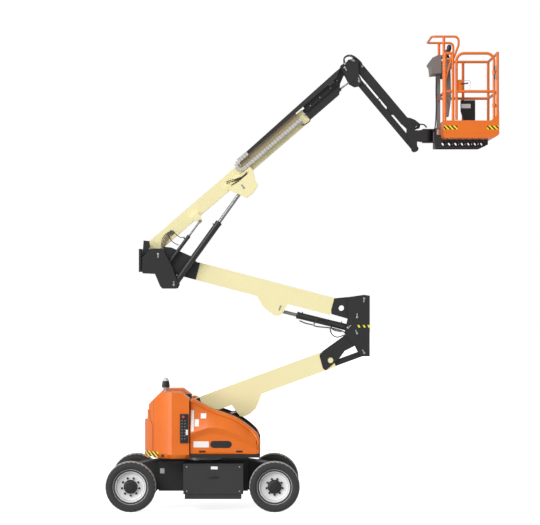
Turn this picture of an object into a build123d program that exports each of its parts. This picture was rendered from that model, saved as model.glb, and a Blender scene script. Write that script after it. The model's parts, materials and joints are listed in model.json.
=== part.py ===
"""Articulating boom lift with a two-arm tower, a telescoping main boom, a jib and a basket.

Every piece is drawn in the machine's own frame: X along the machine with the slewing axis at X 0,
Z up from the ground, and -Y the left side of a machine that drives towards -X.
Side outlines are lists of (X, Z) points. On an arm they are (along, above) points, measured
along the line of the arm from its lower pin and square to it.
"""

import os
from math import atan2, cos, degrees, radians, sin

from build123d import *

# ---- running fits and gaps (millimetres) ----
PIN_CLEARANCE = 0.05
SLIDE_GAP = 5.0
CHEEK_GAP = 5.0
FACE_GAP = 1.0
SEAT_GAP = 0.3

# ---- wheels and axles ----
WHEEL_BASE = 2010.0
OVERALL_WIDTH = 1750.0
TYRE_R = 354.0
TYRE_WIDTH = 240.0
BEAD_WIDTH = 192.0
RIM_SEAT_R = 222.0
RIM_FLANGE_R = 243.0
RIM_FLANGE = 12.0
RIM_WALL = 12.0
HUB_R = 97.0
SPINDLE_R = 32.0
SPINDLE_REACH = 60.0
KINGPIN_Y = 590.0
KINGPIN_R = 20.0
STEER_ARM = 130.0
STEER_ARM_INSET = 0.0
AXLE_LOW = 290.0
AXLE_HIGH = 430.0
AXLE_WIDTH = 110.0

# ---- chassis and slewing ring ----
CHASSIS_TOP = 680.0
CHASSIS_LOW = 262.0
CHASSIS_HALF_WIDTH = 420.0
CHASSIS_HALF_LENGTH = 630.0
SPINE_HALF_WIDTH = 230.0
SPINE_END = 1130.0
LUG_BORE_R = 20.0
LUG_THICK = 20.0
LUG_Y = 190.0
LUG_Z = 500.0
LUG_HALF_WIDTH = 40.0
LUG_REACH = 70.0
BOX_LEFT = -270.0
BOX_RIGHT = 567.0
BOX_LOW = 251.0
BOX_TOP = 672.0
BOX_OUTER_Y = 805.0
STEP_LOW = 182.0
RING_R = 240.0

# ---- turntable ----
DECK_LOW = 753.0
DECK_TOP = 793.0
RING_TOP = DECK_LOW - SEAT_GAP
TAIL_R = 846.0
CHANNEL_HALF_WIDTH = 290.0
SIDE_PLATE = 15.0
COVER_OUTER_Y = 720.0
TAIL_LOW = 731.0
TAIL_SHOULDER = 1410.0
TOWER_TOP = 1666.0
TOWER_RIGHT = -190.0
HOOD_LEFT = -178.0
HOOD_RIGHT = 802.0
HOOD_TOP = 1559.0
HOOD_TIP = 1040.0
HOOD_WALL = 25.0
HOOD_SCOOP = 30.0
HOOD_LEAN = 80.0
CAVITY_Y = 620.0
CREASE_PEAK = (130.0, 1198.0)
PLATE_DROP = 35.0
BEACON_AT = (-528.0, -450.0)
HINGE_PIN_R = 6.0
HINGE_BARREL_R = 12.0
HINGE_DROP = 15.0
HINGE_SLEEVE = 60.0
HINGE_END = 25.0
HINGE_STARTS = (370.0, 880.0)

# ---- tower arms: pins, lengths and angles ----
ARM_1_PIN = (-545.0, 1480.0)
ARM_1_LENGTH = 2904.0
ARM_1_ANGLE = 20.1
ARM_2_LENGTH = 3077.0
ARM_2_ANGLE = 14.7
UPRIGHT_PIN_GAP = 229.0
PIN_R = 30.0
SMALL_PIN_R = 22.0
ARM_WALL = 8.0
ARM_1_HALF_WIDTH = 115.0
ARM_1_BELOW = -344.0
ARM_1_ABOVE = -84.0
ARM_1_TUBE = (275.0, ARM_1_LENGTH - 447)
ARM_1_SLOT_END = 1080.0
ARM_2_HALF_WIDTH = 105.0
ARM_2_BELOW = -67.0
ARM_2_ABOVE = 183.0
ARM_2_TUBE = (600.0, ARM_2_LENGTH - 377)
CHEEK = 9.0
LINK_PIN_OFFSET = (102.0, -279.0)
LINK_HALF_DEPTH = 38.0
LINK_INNER_Y = 62.0
LINK_OUTER_Y = 92.0
CYLINDER_SLOT = 116.0
UPRIGHT_PLATE = 20.0
LINK_LUG = 10.0

# ---- main boom ----
BOOM_PIN_OFFSET = (149.0, 118.0)
BOOM_ANGLE = 40.8
BOOM_HALF_WIDTH = 80.0
BOOM_WALL = 6.0
BOOM_BELOW = 31.0
BOOM_ABOVE = 228.0
BOOM_END = 2886.0
TRACK_START = 1720.0
PAD_LENGTH = 130.0
FLY_START = 300.0
FLY_END = 3440.0
FLY_WALL = 6.0
YOKE_PIN_ALONG = 3746.0
YOKE_PIN_ABOVE = 279.0

# ---- jib ----
JIB_PIN_OFFSET = (128.0, 99.0)
JIB_LINK_OFFSET = (205.0, -198.0)
JIB_LENGTH = 1249.0
JIB_ANGLE = -49.9
JIB_HALF_WIDTH = 50.0
JIB_WALL = 6.0
JIB_SLOT = 88.0
JIB_BELOW = -57.0
JIB_ABOVE = 67.0
JIB_LINK_HALF_DEPTH = 42.0
JIB_LINK_INNER_Y = 57.0
JIB_LINK_OUTER_Y = 76.0
YOKE_INNER_Y = 82.0
YOKE_OUTER_Y = 100.0
ROTATOR_OFFSET = 230.0
ROTATOR_BELOW = -113.0
ROTATOR_R = 62.0
ROTATOR_PIN_R = 30.0

# ---- platform ----
PLATFORM_GAP = 197.0
PLATFORM_LENGTH = 781.0
PLATFORM_HALF_WIDTH = 760.0
FLOOR_ABOVE_ROTATOR = 5.0
FLOOR_THICK = 8.0
TOE_HEIGHT = 166.0
TOE_THICK = 3.0
RAIL_R = 20.0
BRACE_R = 12.0
MID_RAIL = 580.0
TOP_RAIL = 1114.0
GUARD_RAIL = 1370.0
GUARD_Y = 500.0
MOUNT_DEPTH = 185.0

LEFT = -1
RIGHT = 1

os.makedirs("parts", exist_ok=True)


def offset_point(point, shift):
    """The point moved by a shift, both (X, Z)."""
    return (point[0] + shift[0], point[1] + shift[1])


def along(pin, angle, distance, above=0.0):
    """The (X, Z) point at a distance along a line from a pin, and a height square to it."""
    turn = radians(angle)
    return (
        pin[0] + distance * cos(turn) - above * sin(turn),
        pin[1] + distance * sin(turn) + above * cos(turn),
    )


def on_arm(pin, angle, outline):
    """Turns an outline of (along, above) points into (X, Z) points."""
    return [along(pin, angle, distance, above) for distance, above in outline]


def about(pin, outline):
    """Turns an outline measured from a pin into (X, Z) points."""
    return [offset_point(pin, point) for point in outline]


# ---- the hoods' hinge line, along their sloping inner top edge ----
HOOD_CREST = (HOOD_LEFT + 47, HOOD_TOP)
HOOD_SLOPE = degrees(atan2(HOOD_TIP - HOOD_TOP, HOOD_RIGHT - HOOD_CREST[0]))
HINGE_Y = CHANNEL_HALF_WIDTH + SIDE_PLATE - 3

# ---- pins worked out from the arms ----
ARM_1_TOP = along(ARM_1_PIN, ARM_1_ANGLE, ARM_1_LENGTH)
ARM_2_LOW = offset_point(ARM_1_TOP, (0.0, UPRIGHT_PIN_GAP))
ARM_2_PIN = along(ARM_2_LOW, 180.0 - ARM_2_ANGLE, ARM_2_LENGTH)
LINK_LOW = offset_point(ARM_1_PIN, LINK_PIN_OFFSET)
LINK_HIGH = offset_point(ARM_1_TOP, LINK_PIN_OFFSET)
BOOM_PIN = offset_point(ARM_2_PIN, BOOM_PIN_OFFSET)
YOKE_PIN = along(BOOM_PIN, BOOM_ANGLE, YOKE_PIN_ALONG, YOKE_PIN_ABOVE)
JIB_PIN = offset_point(YOKE_PIN, JIB_PIN_OFFSET)
JIB_LINK_PIN = offset_point(YOKE_PIN, JIB_LINK_OFFSET)
JIB_TOP = along(JIB_PIN, JIB_ANGLE, JIB_LENGTH)
JIB_LINK_TOP = along(JIB_LINK_PIN, JIB_ANGLE, JIB_LENGTH)
ROTATOR_X = JIB_TOP[0] + ROTATOR_OFFSET
ROTATOR_Z = JIB_TOP[1] + ROTATOR_BELOW

# ---- platform heights and ends, and where the slewing axis stands in the part's frame ----
PLATFORM_LEFT = ROTATOR_X + PLATFORM_GAP
PLATFORM_RIGHT = PLATFORM_LEFT + PLATFORM_LENGTH
FLOOR_LOW = ROTATOR_Z + FLOOR_ABOVE_ROTATOR
FLOOR_TOP = FLOOR_LOW + FLOOR_THICK
TOE_TOP = FLOOR_TOP + TOE_HEIGHT
MID_RAIL_Z = FLOOR_LOW + MID_RAIL
TOP_RAIL_Z = FLOOR_LOW + TOP_RAIL
GUARD_Z = FLOOR_LOW + GUARD_RAIL
WHEEL_REACH = WHEEL_BASE / 2 + TYRE_R
SLEW_X = -(PLATFORM_RIGHT - WHEEL_REACH) / 2

# ---- hydraulic cylinders: base pin, rod eye, barrel radius, rod radius, eye half width, Y ----
# The barrel takes the share BARREL of the distance between the pins.
LIFT_1_BASE = offset_point(ARM_1_PIN, (224.0, -342.0))
LIFT_1_EYE = offset_point(ARM_1_PIN, (1064.0, -117.0))
LIFT_2_BASE = offset_point(ARM_2_LOW, (-130.0, -149.0))
LIFT_2_EYE = offset_point(ARM_2_LOW, (-1102.0, 90.0))
BOOM_LIFT_BASE = offset_point(ARM_2_PIN, (372.0, -321.0))
BOOM_LIFT_EYE = along(BOOM_PIN, BOOM_ANGLE, 1528.0, -82.0)
BOOM_LIFT_Y = -200.0
MASTER_BASE = offset_point(ARM_2_PIN, (295.0, -12.0))
MASTER_EYE = along(BOOM_PIN, BOOM_ANGLE, 756.0, -30.0)
MASTER_Y = -172.0
SLAVE_BASE = along(BOOM_PIN, BOOM_ANGLE, 3000.0, 130.0)
SLAVE_EYE = offset_point(YOKE_PIN, (98.0, -178.0))
JIB_LIFT_BASE = JIB_LINK_PIN
JIB_LIFT_EYE = along(JIB_PIN, JIB_ANGLE, 880.0, -110.0)


def plate(outline, y_low, y_high, corner=0.0, mode=Mode.ADD):
    """Adds an X-Z outline as a plate between two Y planes, with rounded corners."""
    with BuildSketch(Plane.XZ.offset(-y_high)) as face:
        with BuildLine():
            Polyline(*outline, close=True)
        make_face()
        if corner:
            fillet(face.vertices(), corner)
    extrude(face.sketch, amount=y_high - y_low, mode=mode)


def pair(outline, y_inner, y_outer, corner=0.0, mode=Mode.ADD):
    """Adds the same plate on both sides of the machine's middle plane."""
    plate(outline, y_inner, y_outer, corner, mode)
    plate(outline, -y_outer, -y_inner, corner, mode)


def rod_y(point, radius, y_low, y_high, mode=Mode.ADD):
    """Adds a round bar, pin or boss along Y at an (X, Z) point, or cuts a bore."""
    with BuildSketch(Plane.XZ.offset(-y_high)) as face:
        with Locations(point):
            Circle(radius)
    extrude(face.sketch, amount=y_high - y_low, mode=mode)


def pair_y(point, radius, y_inner, y_outer, mode=Mode.ADD):
    """Adds the same round on both sides of the middle plane."""
    rod_y(point, radius, y_inner, y_outer, mode)
    rod_y(point, radius, -y_outer, -y_inner, mode)


def block(x_range, y_range, z_range, mode=Mode.ADD):
    """Adds a box between two limits on each axis."""
    centre = [(low + high) / 2 for low, high in (x_range, y_range, z_range)]
    size = [high - low for low, high in (x_range, y_range, z_range)]
    with Locations(tuple(centre)):
        Box(*size, mode=mode)


def rod_between(start, end, radius, mode=Mode.ADD):
    """Adds a round bar between two (X, Y, Z) points."""
    axis = Vector(*end) - Vector(*start)
    with BuildSketch(Plane(origin=start, z_dir=axis)) as face:
        Circle(radius)
    extrude(face.sketch, amount=axis.length, mode=mode)


def tube_run(points, bends, radius):
    """Adds a round rail along a line of points with rounded bends."""
    with BuildLine() as path:
        FilletPolyline(*points, radius=bends)
    with BuildSketch(Plane(origin=path.line @ 0, z_dir=path.line % 0)) as face:
        Circle(radius)
    sweep(face.sketch, path=path.line)


def box_tube(pin, angle, span, below, above, half_width, wall):
    """Adds a hollow box section along an arm."""
    start, end = span
    outer = [(start, below), (end, below), (end, above), (start, above)]
    inner = [
        (start - 1, below + wall),
        (end + 1, below + wall),
        (end + 1, above - wall),
        (start - 1, above - wall),
    ]
    plate(on_arm(pin, angle, outer), -half_width, half_width)
    plate(on_arm(pin, angle, inner), wall - half_width, half_width - wall, mode=Mode.SUBTRACT)


def write(piece, name):
    """Moves a finished piece from the slewing axis to the part's origin and writes it."""
    moved = piece.part.moved(Location((SLEW_X, 0, 0)))
    moved.label = name
    export_step(moved, f"parts/{name}.step")


# ---- wheels ----
# Each row: name, axle X, side, steered.
WHEELS = [
    ("front_left", -WHEEL_BASE / 2, LEFT, True),
    ("front_right", -WHEEL_BASE / 2, RIGHT, True),
    ("rear_left", WHEEL_BASE / 2, LEFT, False),
    ("rear_right", WHEEL_BASE / 2, RIGHT, False),
]
WHEEL_Y = (OVERALL_WIDTH - TYRE_WIDTH) / 2


def wheel_ring(axle_x, side, profile):
    """Revolves a (radius, outward) profile about a wheel's axle."""
    with BuildSketch(Plane.XY.offset(TYRE_R)) as face:
        with BuildLine():
            Polyline(*[(axle_x + r, side * (WHEEL_Y + out)) for r, out in profile], close=True)
        make_face()
    revolve(face.sketch, axis=Axis((axle_x, 0, TYRE_R), (0, 1, 0)))


def tyre(name, axle_x, side):
    half = TYRE_WIDTH / 2
    bead = BEAD_WIDTH / 2
    flank = [
        (RIM_SEAT_R, bead),
        (RIM_FLANGE_R + 2, bead),
        (262, half - 8),
        (300, half),
        (332, half - 4),
        (348, half - 16),
        (TYRE_R, half - 36),
    ]
    profile = flank + [(r, -out) for r, out in reversed(flank)]
    with BuildPart() as piece:
        wheel_ring(axle_x, side, profile)
    write(piece, f"tyre_{name}")


def rim(name, axle_x, side, steered):
    bead = BEAD_WIDTH / 2
    bore = SPINDLE_R + PIN_CLEARANCE
    disc_in = 20.0
    disc_out = 34.0
    hub_out = 96.0 if steered else 72.0
    inner_r = RIM_SEAT_R - RIM_WALL
    profile = [
        (bore, disc_in),
        (inner_r, disc_in),
        (inner_r, -bead - RIM_FLANGE),
        (RIM_FLANGE_R, -bead - RIM_FLANGE),
        (RIM_FLANGE_R, -bead),
        (RIM_SEAT_R, -bead),
        (RIM_SEAT_R, bead),
        (RIM_FLANGE_R, bead),
        (RIM_FLANGE_R, bead + RIM_FLANGE),
        (inner_r, bead + RIM_FLANGE),
        (inner_r - 14, disc_out + 6),
        (HUB_R + 8, disc_out),
        (HUB_R, disc_out),
        (HUB_R - 6, hub_out - 8),
        (HUB_R - 20, hub_out),
        (bore, hub_out),
    ]
    with BuildPart() as piece:
        wheel_ring(axle_x, side, profile)
    write(piece, f"rim_{name}")


for wheel_name, wheel_x, wheel_side, is_steered in WHEELS:
    tyre(wheel_name, wheel_x, wheel_side)
    rim(wheel_name, wheel_x, wheel_side, is_steered)


# ---- axles, knuckles and steering ----
STEER_X = -WHEEL_BASE / 2
DRIVE_X = WHEEL_BASE / 2
ARM_TIP_Y = KINGPIN_Y - STEER_ARM_INSET
TIE_ROD_X = STEER_X - STEER_ARM
STEER_CYL_X = STEER_X + STEER_ARM
KNUCKLE_LOW = 283.0
KNUCKLE_HIGH = 425.0
EAR = 22.0
STEER_CYL_BASE_Y = -180.0
STEER_CYL_R = 26.0
STEER_ROD_R = 14.0
STEER_PLANE = (325.0, 383.0)


def front_axle():
    web_outer = KINGPIN_Y - 125
    ear_outer = KINGPIN_Y + 34
    with BuildPart() as piece:
        block(
            (STEER_X - AXLE_WIDTH / 2, STEER_X + AXLE_WIDTH / 2),
            (-web_outer, web_outer),
            (AXLE_LOW, AXLE_HIGH),
        )
        for side in (LEFT, RIGHT):
            y_range = sorted((side * (web_outer - 40), side * ear_outer))
            for low in (KNUCKLE_LOW - FACE_GAP - EAR, KNUCKLE_HIGH + FACE_GAP):
                block((STEER_X - 45, STEER_X + 45), y_range, (low, low + EAR))
            web = sorted((side * (web_outer - 40), side * web_outer))
            block((STEER_X - 45, STEER_X + 45), web, (KNUCKLE_LOW - FACE_GAP - EAR, AXLE_HIGH))
            with Locations((STEER_X, side * KINGPIN_Y, (KNUCKLE_LOW + KNUCKLE_HIGH) / 2)):
                Cylinder(KINGPIN_R + PIN_CLEARANCE, 260, mode=Mode.SUBTRACT)
        block(
            (STEER_X + AXLE_WIDTH / 2, STEER_CYL_X + 30),
            (STEER_CYL_BASE_Y - 30, STEER_CYL_BASE_Y + 30),
            (STEER_PLANE[0] - FACE_GAP - 20, STEER_PLANE[0] - FACE_GAP),
        )
        with Locations((STEER_CYL_X, STEER_CYL_BASE_Y, sum(STEER_PLANE) / 2)):
            Cylinder(12, STEER_PLANE[1] - STEER_PLANE[0] + 40)
    write(piece, "steer_axle")


def knuckle(name, side):
    spindle_out = WHEEL_Y + SPINDLE_REACH
    with BuildPart() as piece:
        with Locations((STEER_X, side * KINGPIN_Y, (KNUCKLE_LOW + KNUCKLE_HIGH) / 2)):
            Cylinder(44, KNUCKLE_HIGH - KNUCKLE_LOW)
            Cylinder(KINGPIN_R, KNUCKLE_HIGH - KNUCKLE_LOW + 2 * (EAR + FACE_GAP) + 6)
        rod_y((STEER_X, TYRE_R), SPINDLE_R, *sorted((side * KINGPIN_Y, side * spindle_out)))
        arm_tips = [STEER_X - STEER_ARM]
        if side == LEFT:
            arm_tips.append(STEER_X + STEER_ARM)
        for tip_x in arm_tips:
            reach = tip_x - STEER_X
            step = 1 if reach > 0 else -1
            with BuildSketch(Plane.XY.offset(STEER_PLANE[0] - FACE_GAP - 18)) as lever:
                with BuildLine():
                    Polyline(
                        (STEER_X, side * (KINGPIN_Y + 30)),
                        (tip_x, side * (ARM_TIP_Y + 24)),
                        (tip_x + 20 * step, side * ARM_TIP_Y),
                        (tip_x, side * (ARM_TIP_Y - 24)),
                        (STEER_X, side * (KINGPIN_Y - 30)),
                        close=True,
                    )
                make_face()
            extrude(lever.sketch, amount=18)
            with Locations((tip_x, side * ARM_TIP_Y, sum(STEER_PLANE) / 2 - 14)):
                if reach < 0:
                    Cylinder(12, STEER_PLANE[1] - STEER_PLANE[0] + 20)
    write(piece, f"knuckle_{name}")


def tie_rod():
    eye_z = sum(STEER_PLANE) / 2
    with BuildPart() as piece:
        rod_between((TIE_ROD_X, -ARM_TIP_Y, eye_z), (TIE_ROD_X, ARM_TIP_Y, eye_z), 13)
        with Locations((TIE_ROD_X, -ARM_TIP_Y, eye_z), (TIE_ROD_X, ARM_TIP_Y, eye_z)):
            Cylinder(22, STEER_PLANE[1] - STEER_PLANE[0])
            Cylinder(12 + PIN_CLEARANCE, 60, mode=Mode.SUBTRACT)
    write(piece, "tie_rod")


def steer_cylinder():
    eye_z = sum(STEER_PLANE) / 2
    mouth_y = STEER_CYL_BASE_Y - 245
    with BuildPart() as barrel:
        rod_between(
            (STEER_CYL_X, STEER_CYL_BASE_Y, eye_z), (STEER_CYL_X, mouth_y, eye_z), STEER_CYL_R
        )
        with Locations((STEER_CYL_X, STEER_CYL_BASE_Y, eye_z)):
            Cylinder(24, STEER_PLANE[1] - STEER_PLANE[0])
            Cylinder(12 + PIN_CLEARANCE, 60, mode=Mode.SUBTRACT)
        rod_between(
            (STEER_CYL_X, STEER_CYL_BASE_Y - 30, eye_z),
            (STEER_CYL_X, mouth_y - 1, eye_z),
            STEER_ROD_R + PIN_CLEARANCE,
            mode=Mode.SUBTRACT,
        )
    write(barrel, "steer_cylinder_barrel")
    with BuildPart() as rod:
        rod_between(
            (STEER_CYL_X, STEER_CYL_BASE_Y - 140, eye_z), (STEER_CYL_X, -ARM_TIP_Y, eye_z), STEER_ROD_R
        )
        with Locations((STEER_CYL_X, -ARM_TIP_Y, eye_z)):
            Cylinder(20, STEER_PLANE[1] - STEER_PLANE[0])
    write(rod, "steer_cylinder_rod")


def drive_axle():
    motor_in = 560.0
    motor_out = WHEEL_Y + SPINDLE_REACH
    with BuildPart() as piece:
        block(
            (DRIVE_X - AXLE_WIDTH / 2, DRIVE_X + AXLE_WIDTH / 2),
            (-motor_in, motor_in),
            (AXLE_LOW, AXLE_HIGH),
        )
        for side in (LEFT, RIGHT):
            rod_y((DRIVE_X, TYRE_R), 100, *sorted((side * motor_in, side * (WHEEL_Y + 4))))
            rod_y((DRIVE_X, TYRE_R), SPINDLE_R, *sorted((side * motor_in, side * motor_out)))
    write(piece, "drive_axle")


front_axle()
knuckle("left", LEFT)
knuckle("right", RIGHT)
tie_rod()
steer_cylinder()
drive_axle()


# ---- chassis ----
def chassis_frame():
    spine = [
        (-SPINE_END, AXLE_HIGH),
        (-SPINE_END, 560),
        (-900, 640),
        (-CHASSIS_HALF_LENGTH, CHASSIS_TOP),
        (CHASSIS_HALF_LENGTH, CHASSIS_TOP),
        (900, 640),
        (SPINE_END, 560),
        (SPINE_END, AXLE_HIGH),
        (830, AXLE_HIGH),
        (790, CHASSIS_LOW),
        (-790, CHASSIS_LOW),
        (-830, AXLE_HIGH),
    ]
    with BuildPart() as piece:
        plate(spine, -SPINE_HALF_WIDTH, SPINE_HALF_WIDTH)
        block(
            (-CHASSIS_HALF_LENGTH, CHASSIS_HALF_LENGTH),
            (-CHASSIS_HALF_WIDTH, CHASSIS_HALF_WIDTH),
            (CHASSIS_LOW, CHASSIS_TOP),
        )
        for end in (-1, 1):
            reach = sorted((end * (SPINE_END - 1), end * (SPINE_END + LUG_REACH)))
            for side in (LEFT, RIGHT):
                centre = side * LUG_Y
                width = (centre - LUG_HALF_WIDTH, centre + LUG_HALF_WIDTH)
                block(reach, width, (LUG_Z, LUG_Z + LUG_THICK))
                bore_at = (end * (SPINE_END + LUG_REACH / 2), centre, LUG_Z + LUG_THICK / 2)
                with Locations(bore_at):
                    Cylinder(LUG_BORE_R, LUG_THICK + 2, mode=Mode.SUBTRACT)
    write(piece, "chassis_frame")


def battery_boxes():
    with BuildPart() as piece:
        for side in (LEFT, RIGHT):
            block(
                (BOX_LEFT, BOX_RIGHT),
                sorted((side * CHASSIS_HALF_WIDTH, side * BOX_OUTER_Y)),
                (BOX_LOW, BOX_TOP),
            )
            block(
                (BOX_LEFT + 20, BOX_RIGHT - 27),
                sorted((side * (CHASSIS_HALF_WIDTH + 30), side * (BOX_OUTER_Y - 10))),
                (STEP_LOW, BOX_LOW),
            )
    write(piece, "battery_boxes")


def slewing_ring():
    with BuildPart() as piece:
        with Locations((0, 0, (CHASSIS_TOP + RING_TOP) / 2)):
            Cylinder(RING_R, RING_TOP - CHASSIS_TOP)
            Cylinder(RING_R - 60, RING_TOP - CHASSIS_TOP, mode=Mode.SUBTRACT)
    write(piece, "slewing_ring")


chassis_frame()
battery_boxes()
slewing_ring()


# ---- turntable ----
def hinge_point(distance, side):
    """The point at a distance along a hood's hinge line."""
    x, z = along(HOOD_CREST, HOOD_SLOPE, distance, -HINGE_DROP)
    return (x, side * HINGE_Y, z)


def hinge_rod(start, end, side, radius, mode=Mode.ADD):
    """A round bar or bore on a hood's hinge line."""
    rod_between(hinge_point(start, side), hinge_point(end, side), radius, mode)


def turntable_frame():
    side = [
        (-430, DECK_TOP - 1),
        (HOOD_RIGHT - 6, DECK_TOP - 1),
        (HOOD_RIGHT, HOOD_TIP - PLATE_DROP),
        (HOOD_CREST[0], HOOD_TOP - PLATE_DROP),
        (TOWER_RIGHT - 5, HOOD_TOP - PLATE_DROP),
        (TOWER_RIGHT - 5, 1595),
        (-430, 1595),
    ]
    pin_post = [
        (-700, DECK_TOP - 1),
        (-200, DECK_TOP - 1),
        (-250, 1180),
        (-330, 1230),
        (-470, 1330),
        (-475, 1500),
        (-505, 1550),
        (-585, 1550),
        (-615, 1500),
        (-640, 1330),
    ]
    post_in = ARM_1_HALF_WIDTH + CHEEK + CHEEK_GAP + 1
    post_out = post_in + UPRIGHT_PLATE
    deck = [(86 - TAIL_R, -380), (-560, -640), (-300, -700), (HOOD_RIGHT, -700)]
    with BuildPart() as piece:
        with BuildSketch(Plane.XY.offset(DECK_LOW)) as floor:
            with BuildLine():
                Polyline(*deck, *[(x, -y) for x, y in reversed(deck)], close=True)
            make_face()
        extrude(floor.sketch, amount=DECK_TOP - DECK_LOW)
        pair(side, CHANNEL_HALF_WIDTH, CHANNEL_HALF_WIDTH + SIDE_PLATE)
        pair(pin_post, post_in, post_out)
        for start in HINGE_STARTS:
            before = start - FACE_GAP
            after = start + HINGE_SLEEVE + FACE_GAP
            for low, high in ((before - HINGE_END, before), (after, after + HINGE_END)):
                crown = HINGE_PIN_R - 2 - HINGE_DROP
                web = [(low, crown), (high, crown), (high, -45), (low, -45)]
                pair(
                    on_arm(HOOD_CREST, HOOD_SLOPE, web),
                    CHANNEL_HALF_WIDTH,
                    CHANNEL_HALF_WIDTH + SIDE_PLATE,
                )
            for side_sign in (LEFT, RIGHT):
                hinge_rod(before - HINGE_END, after + HINGE_END, side_sign, HINGE_PIN_R)
        rod_y(ARM_1_PIN, PIN_R, -post_out, post_out)
        rod_y(LINK_LOW, SMALL_PIN_R, -post_out, post_out)
        rod_y(LIFT_1_BASE, PIN_R, -post_out, post_out)
    write(piece, "turntable_frame")


def counterweight():
    tail = [
        (-TAIL_R, TAIL_LOW),
        (76 - TAIL_R, TAIL_LOW),
        (76 - TAIL_R, DECK_TOP),
        (131 - TAIL_R, DECK_TOP),
        (131 - TAIL_R, 1180),
        (86 - TAIL_R, 1300),
        (86 - TAIL_R, TAIL_SHOULDER),
        (-TAIL_R, TAIL_SHOULDER),
    ]
    with BuildPart() as piece:
        plate(tail, -620, 620)
        notch = ((-TAIL_R - 1, 146 - TAIL_R), (-CHANNEL_HALF_WIDTH, CHANNEL_HALF_WIDTH))
        block(*notch, (1250, 1500), Mode.SUBTRACT)
        with Locations((0, 0, 1100)):
            Cylinder(TAIL_R, 900, mode=Mode.INTERSECT)
    write(piece, "counterweight")


def tower_covers():
    tower = [
        (TOWER_RIGHT, DECK_TOP),
        (TOWER_RIGHT, 1572),
        (-313, TOWER_TOP),
        (264 - TAIL_R, TOWER_TOP),
        (70 - TAIL_R, 1481),
        (70 - TAIL_R, TAIL_SHOULDER),
        (91 - TAIL_R, TAIL_SHOULDER),
        (91 - TAIL_R, 1300),
        (134 - TAIL_R, 1180),
        (134 - TAIL_R, DECK_TOP),
    ]
    inner = CHANNEL_HALF_WIDTH + SIDE_PLATE
    with BuildPart() as piece:
        pair(tower, inner, COVER_OUTER_Y)
        with Locations((0, 0, 1200)):
            Cylinder(TAIL_R - 4, 1200, mode=Mode.INTERSECT)
    write(piece, "tower_covers")


def hood_cut(outer_face, inner_face, side, inner_y):
    """Cuts a ruled wedge between an outline at the hood's outer face and one further in."""
    with BuildSketch(Plane.XZ.offset(-side * (COVER_OUTER_Y + 1))) as outside:
        with BuildLine():
            Polyline(*outer_face, close=True)
        make_face()
    with BuildSketch(Plane.XZ.offset(-side * inner_y)) as inside:
        with BuildLine():
            Polyline(*inner_face, close=True)
        make_face()
    loft([outside.sketch, inside.sketch], ruled=True, mode=Mode.SUBTRACT)


def hood(name, side):
    outer = [
        (HOOD_LEFT, DECK_TOP + 6),
        (HOOD_RIGHT, DECK_TOP + 6),
        (HOOD_RIGHT, HOOD_TIP),
        HOOD_CREST,
        (HOOD_LEFT, HOOD_TOP),
    ]
    inner = [
        (HOOD_LEFT + HOOD_WALL, DECK_TOP),
        (HOOD_RIGHT - HOOD_WALL, DECK_TOP),
        (HOOD_RIGHT - HOOD_WALL, HOOD_TIP - HOOD_WALL),
        (HOOD_CREST[0], HOOD_TOP - 2 * HOOD_WALL),
        (HOOD_LEFT + HOOD_WALL, HOOD_TOP - 2 * HOOD_WALL),
    ]
    before = HOOD_LEFT - 1
    beyond = HOOD_RIGHT + 1
    crease_ends = (before, CREASE_PEAK[1] - 140), (beyond, CREASE_PEAK[1] - 162)
    crease_low = CREASE_PEAK[1] - 168
    crease_x = CREASE_PEAK[0]
    below = [crease_ends[0], CREASE_PEAK, crease_ends[1], (beyond, DECK_TOP), (before, DECK_TOP)]
    below_in = [
        (before, crease_low),
        (crease_x, crease_low + 2),
        (beyond, crease_low),
        (beyond, DECK_TOP),
        (before, DECK_TOP),
    ]
    sky = HOOD_TOP + 100
    above = [crease_ends[0], CREASE_PEAK, crease_ends[1], (beyond, sky), (before, sky)]
    above_in = [
        (before, HOOD_TOP + 1),
        (HOOD_CREST[0], HOOD_TOP + 1),
        (beyond, HOOD_TIP + 1),
        (beyond, sky),
        (before, sky),
    ]
    inner_y = CHANNEL_HALF_WIDTH + SIDE_PLATE + CHEEK_GAP
    with BuildPart() as piece:
        plate(outer, *sorted((side * inner_y, side * COVER_OUTER_Y)))
        plate(inner, *sorted((side * (inner_y - 1), side * CAVITY_Y)), mode=Mode.SUBTRACT)
        hood_cut(below, below_in, side, COVER_OUTER_Y - HOOD_SCOOP)
        hood_cut(above, above_in, side, COVER_OUTER_Y - HOOD_LEAN)
        for start in HINGE_STARTS:
            end = start + HINGE_SLEEVE
            hinge_rod(start, end, side, HINGE_BARREL_R)
            hinge_rod(start - 1, end + 1, side, HINGE_PIN_R + PIN_CLEARANCE, Mode.SUBTRACT)
    write(piece, f"hood_{name}")


def power_units():
    with BuildPart() as piece:
        for side in (LEFT, RIGHT):
            block((-100, 600), sorted((side * 340, side * (CAVITY_Y - 30))), (DECK_TOP, 960))
    write(piece, "power_units")


def control_panel():
    with BuildPart() as piece:
        block((-318, -202), (-COVER_OUTER_Y - 18, -COVER_OUTER_Y), (960, 1366))
    write(piece, "ground_control_panel")


def beacon():
    # Each pair: radius, height above the cover.
    body = [
        (0, 0),
        (19, 0),
        (19, 14),
        (52, 58),
        (52, 78),
        (43, 148),
        (43, 156),
        (38, 178),
        (26, 194),
        (0, 200),
    ]
    with BuildPart() as piece:
        with BuildSketch(Plane.XZ.offset(-BEACON_AT[1])) as half:
            with BuildLine():
                Polyline(*[(BEACON_AT[0] + r, TOWER_TOP + z) for r, z in body], close=True)
            make_face()
        axis = Axis((BEACON_AT[0], BEACON_AT[1], TOWER_TOP), (0, 0, 1))
        revolve(half.sketch, axis=axis)
    write(piece, "beacon")


turntable_frame()
counterweight()
tower_covers()
hood("left", LEFT)
hood("right", RIGHT)
power_units()
control_panel()
beacon()


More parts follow.
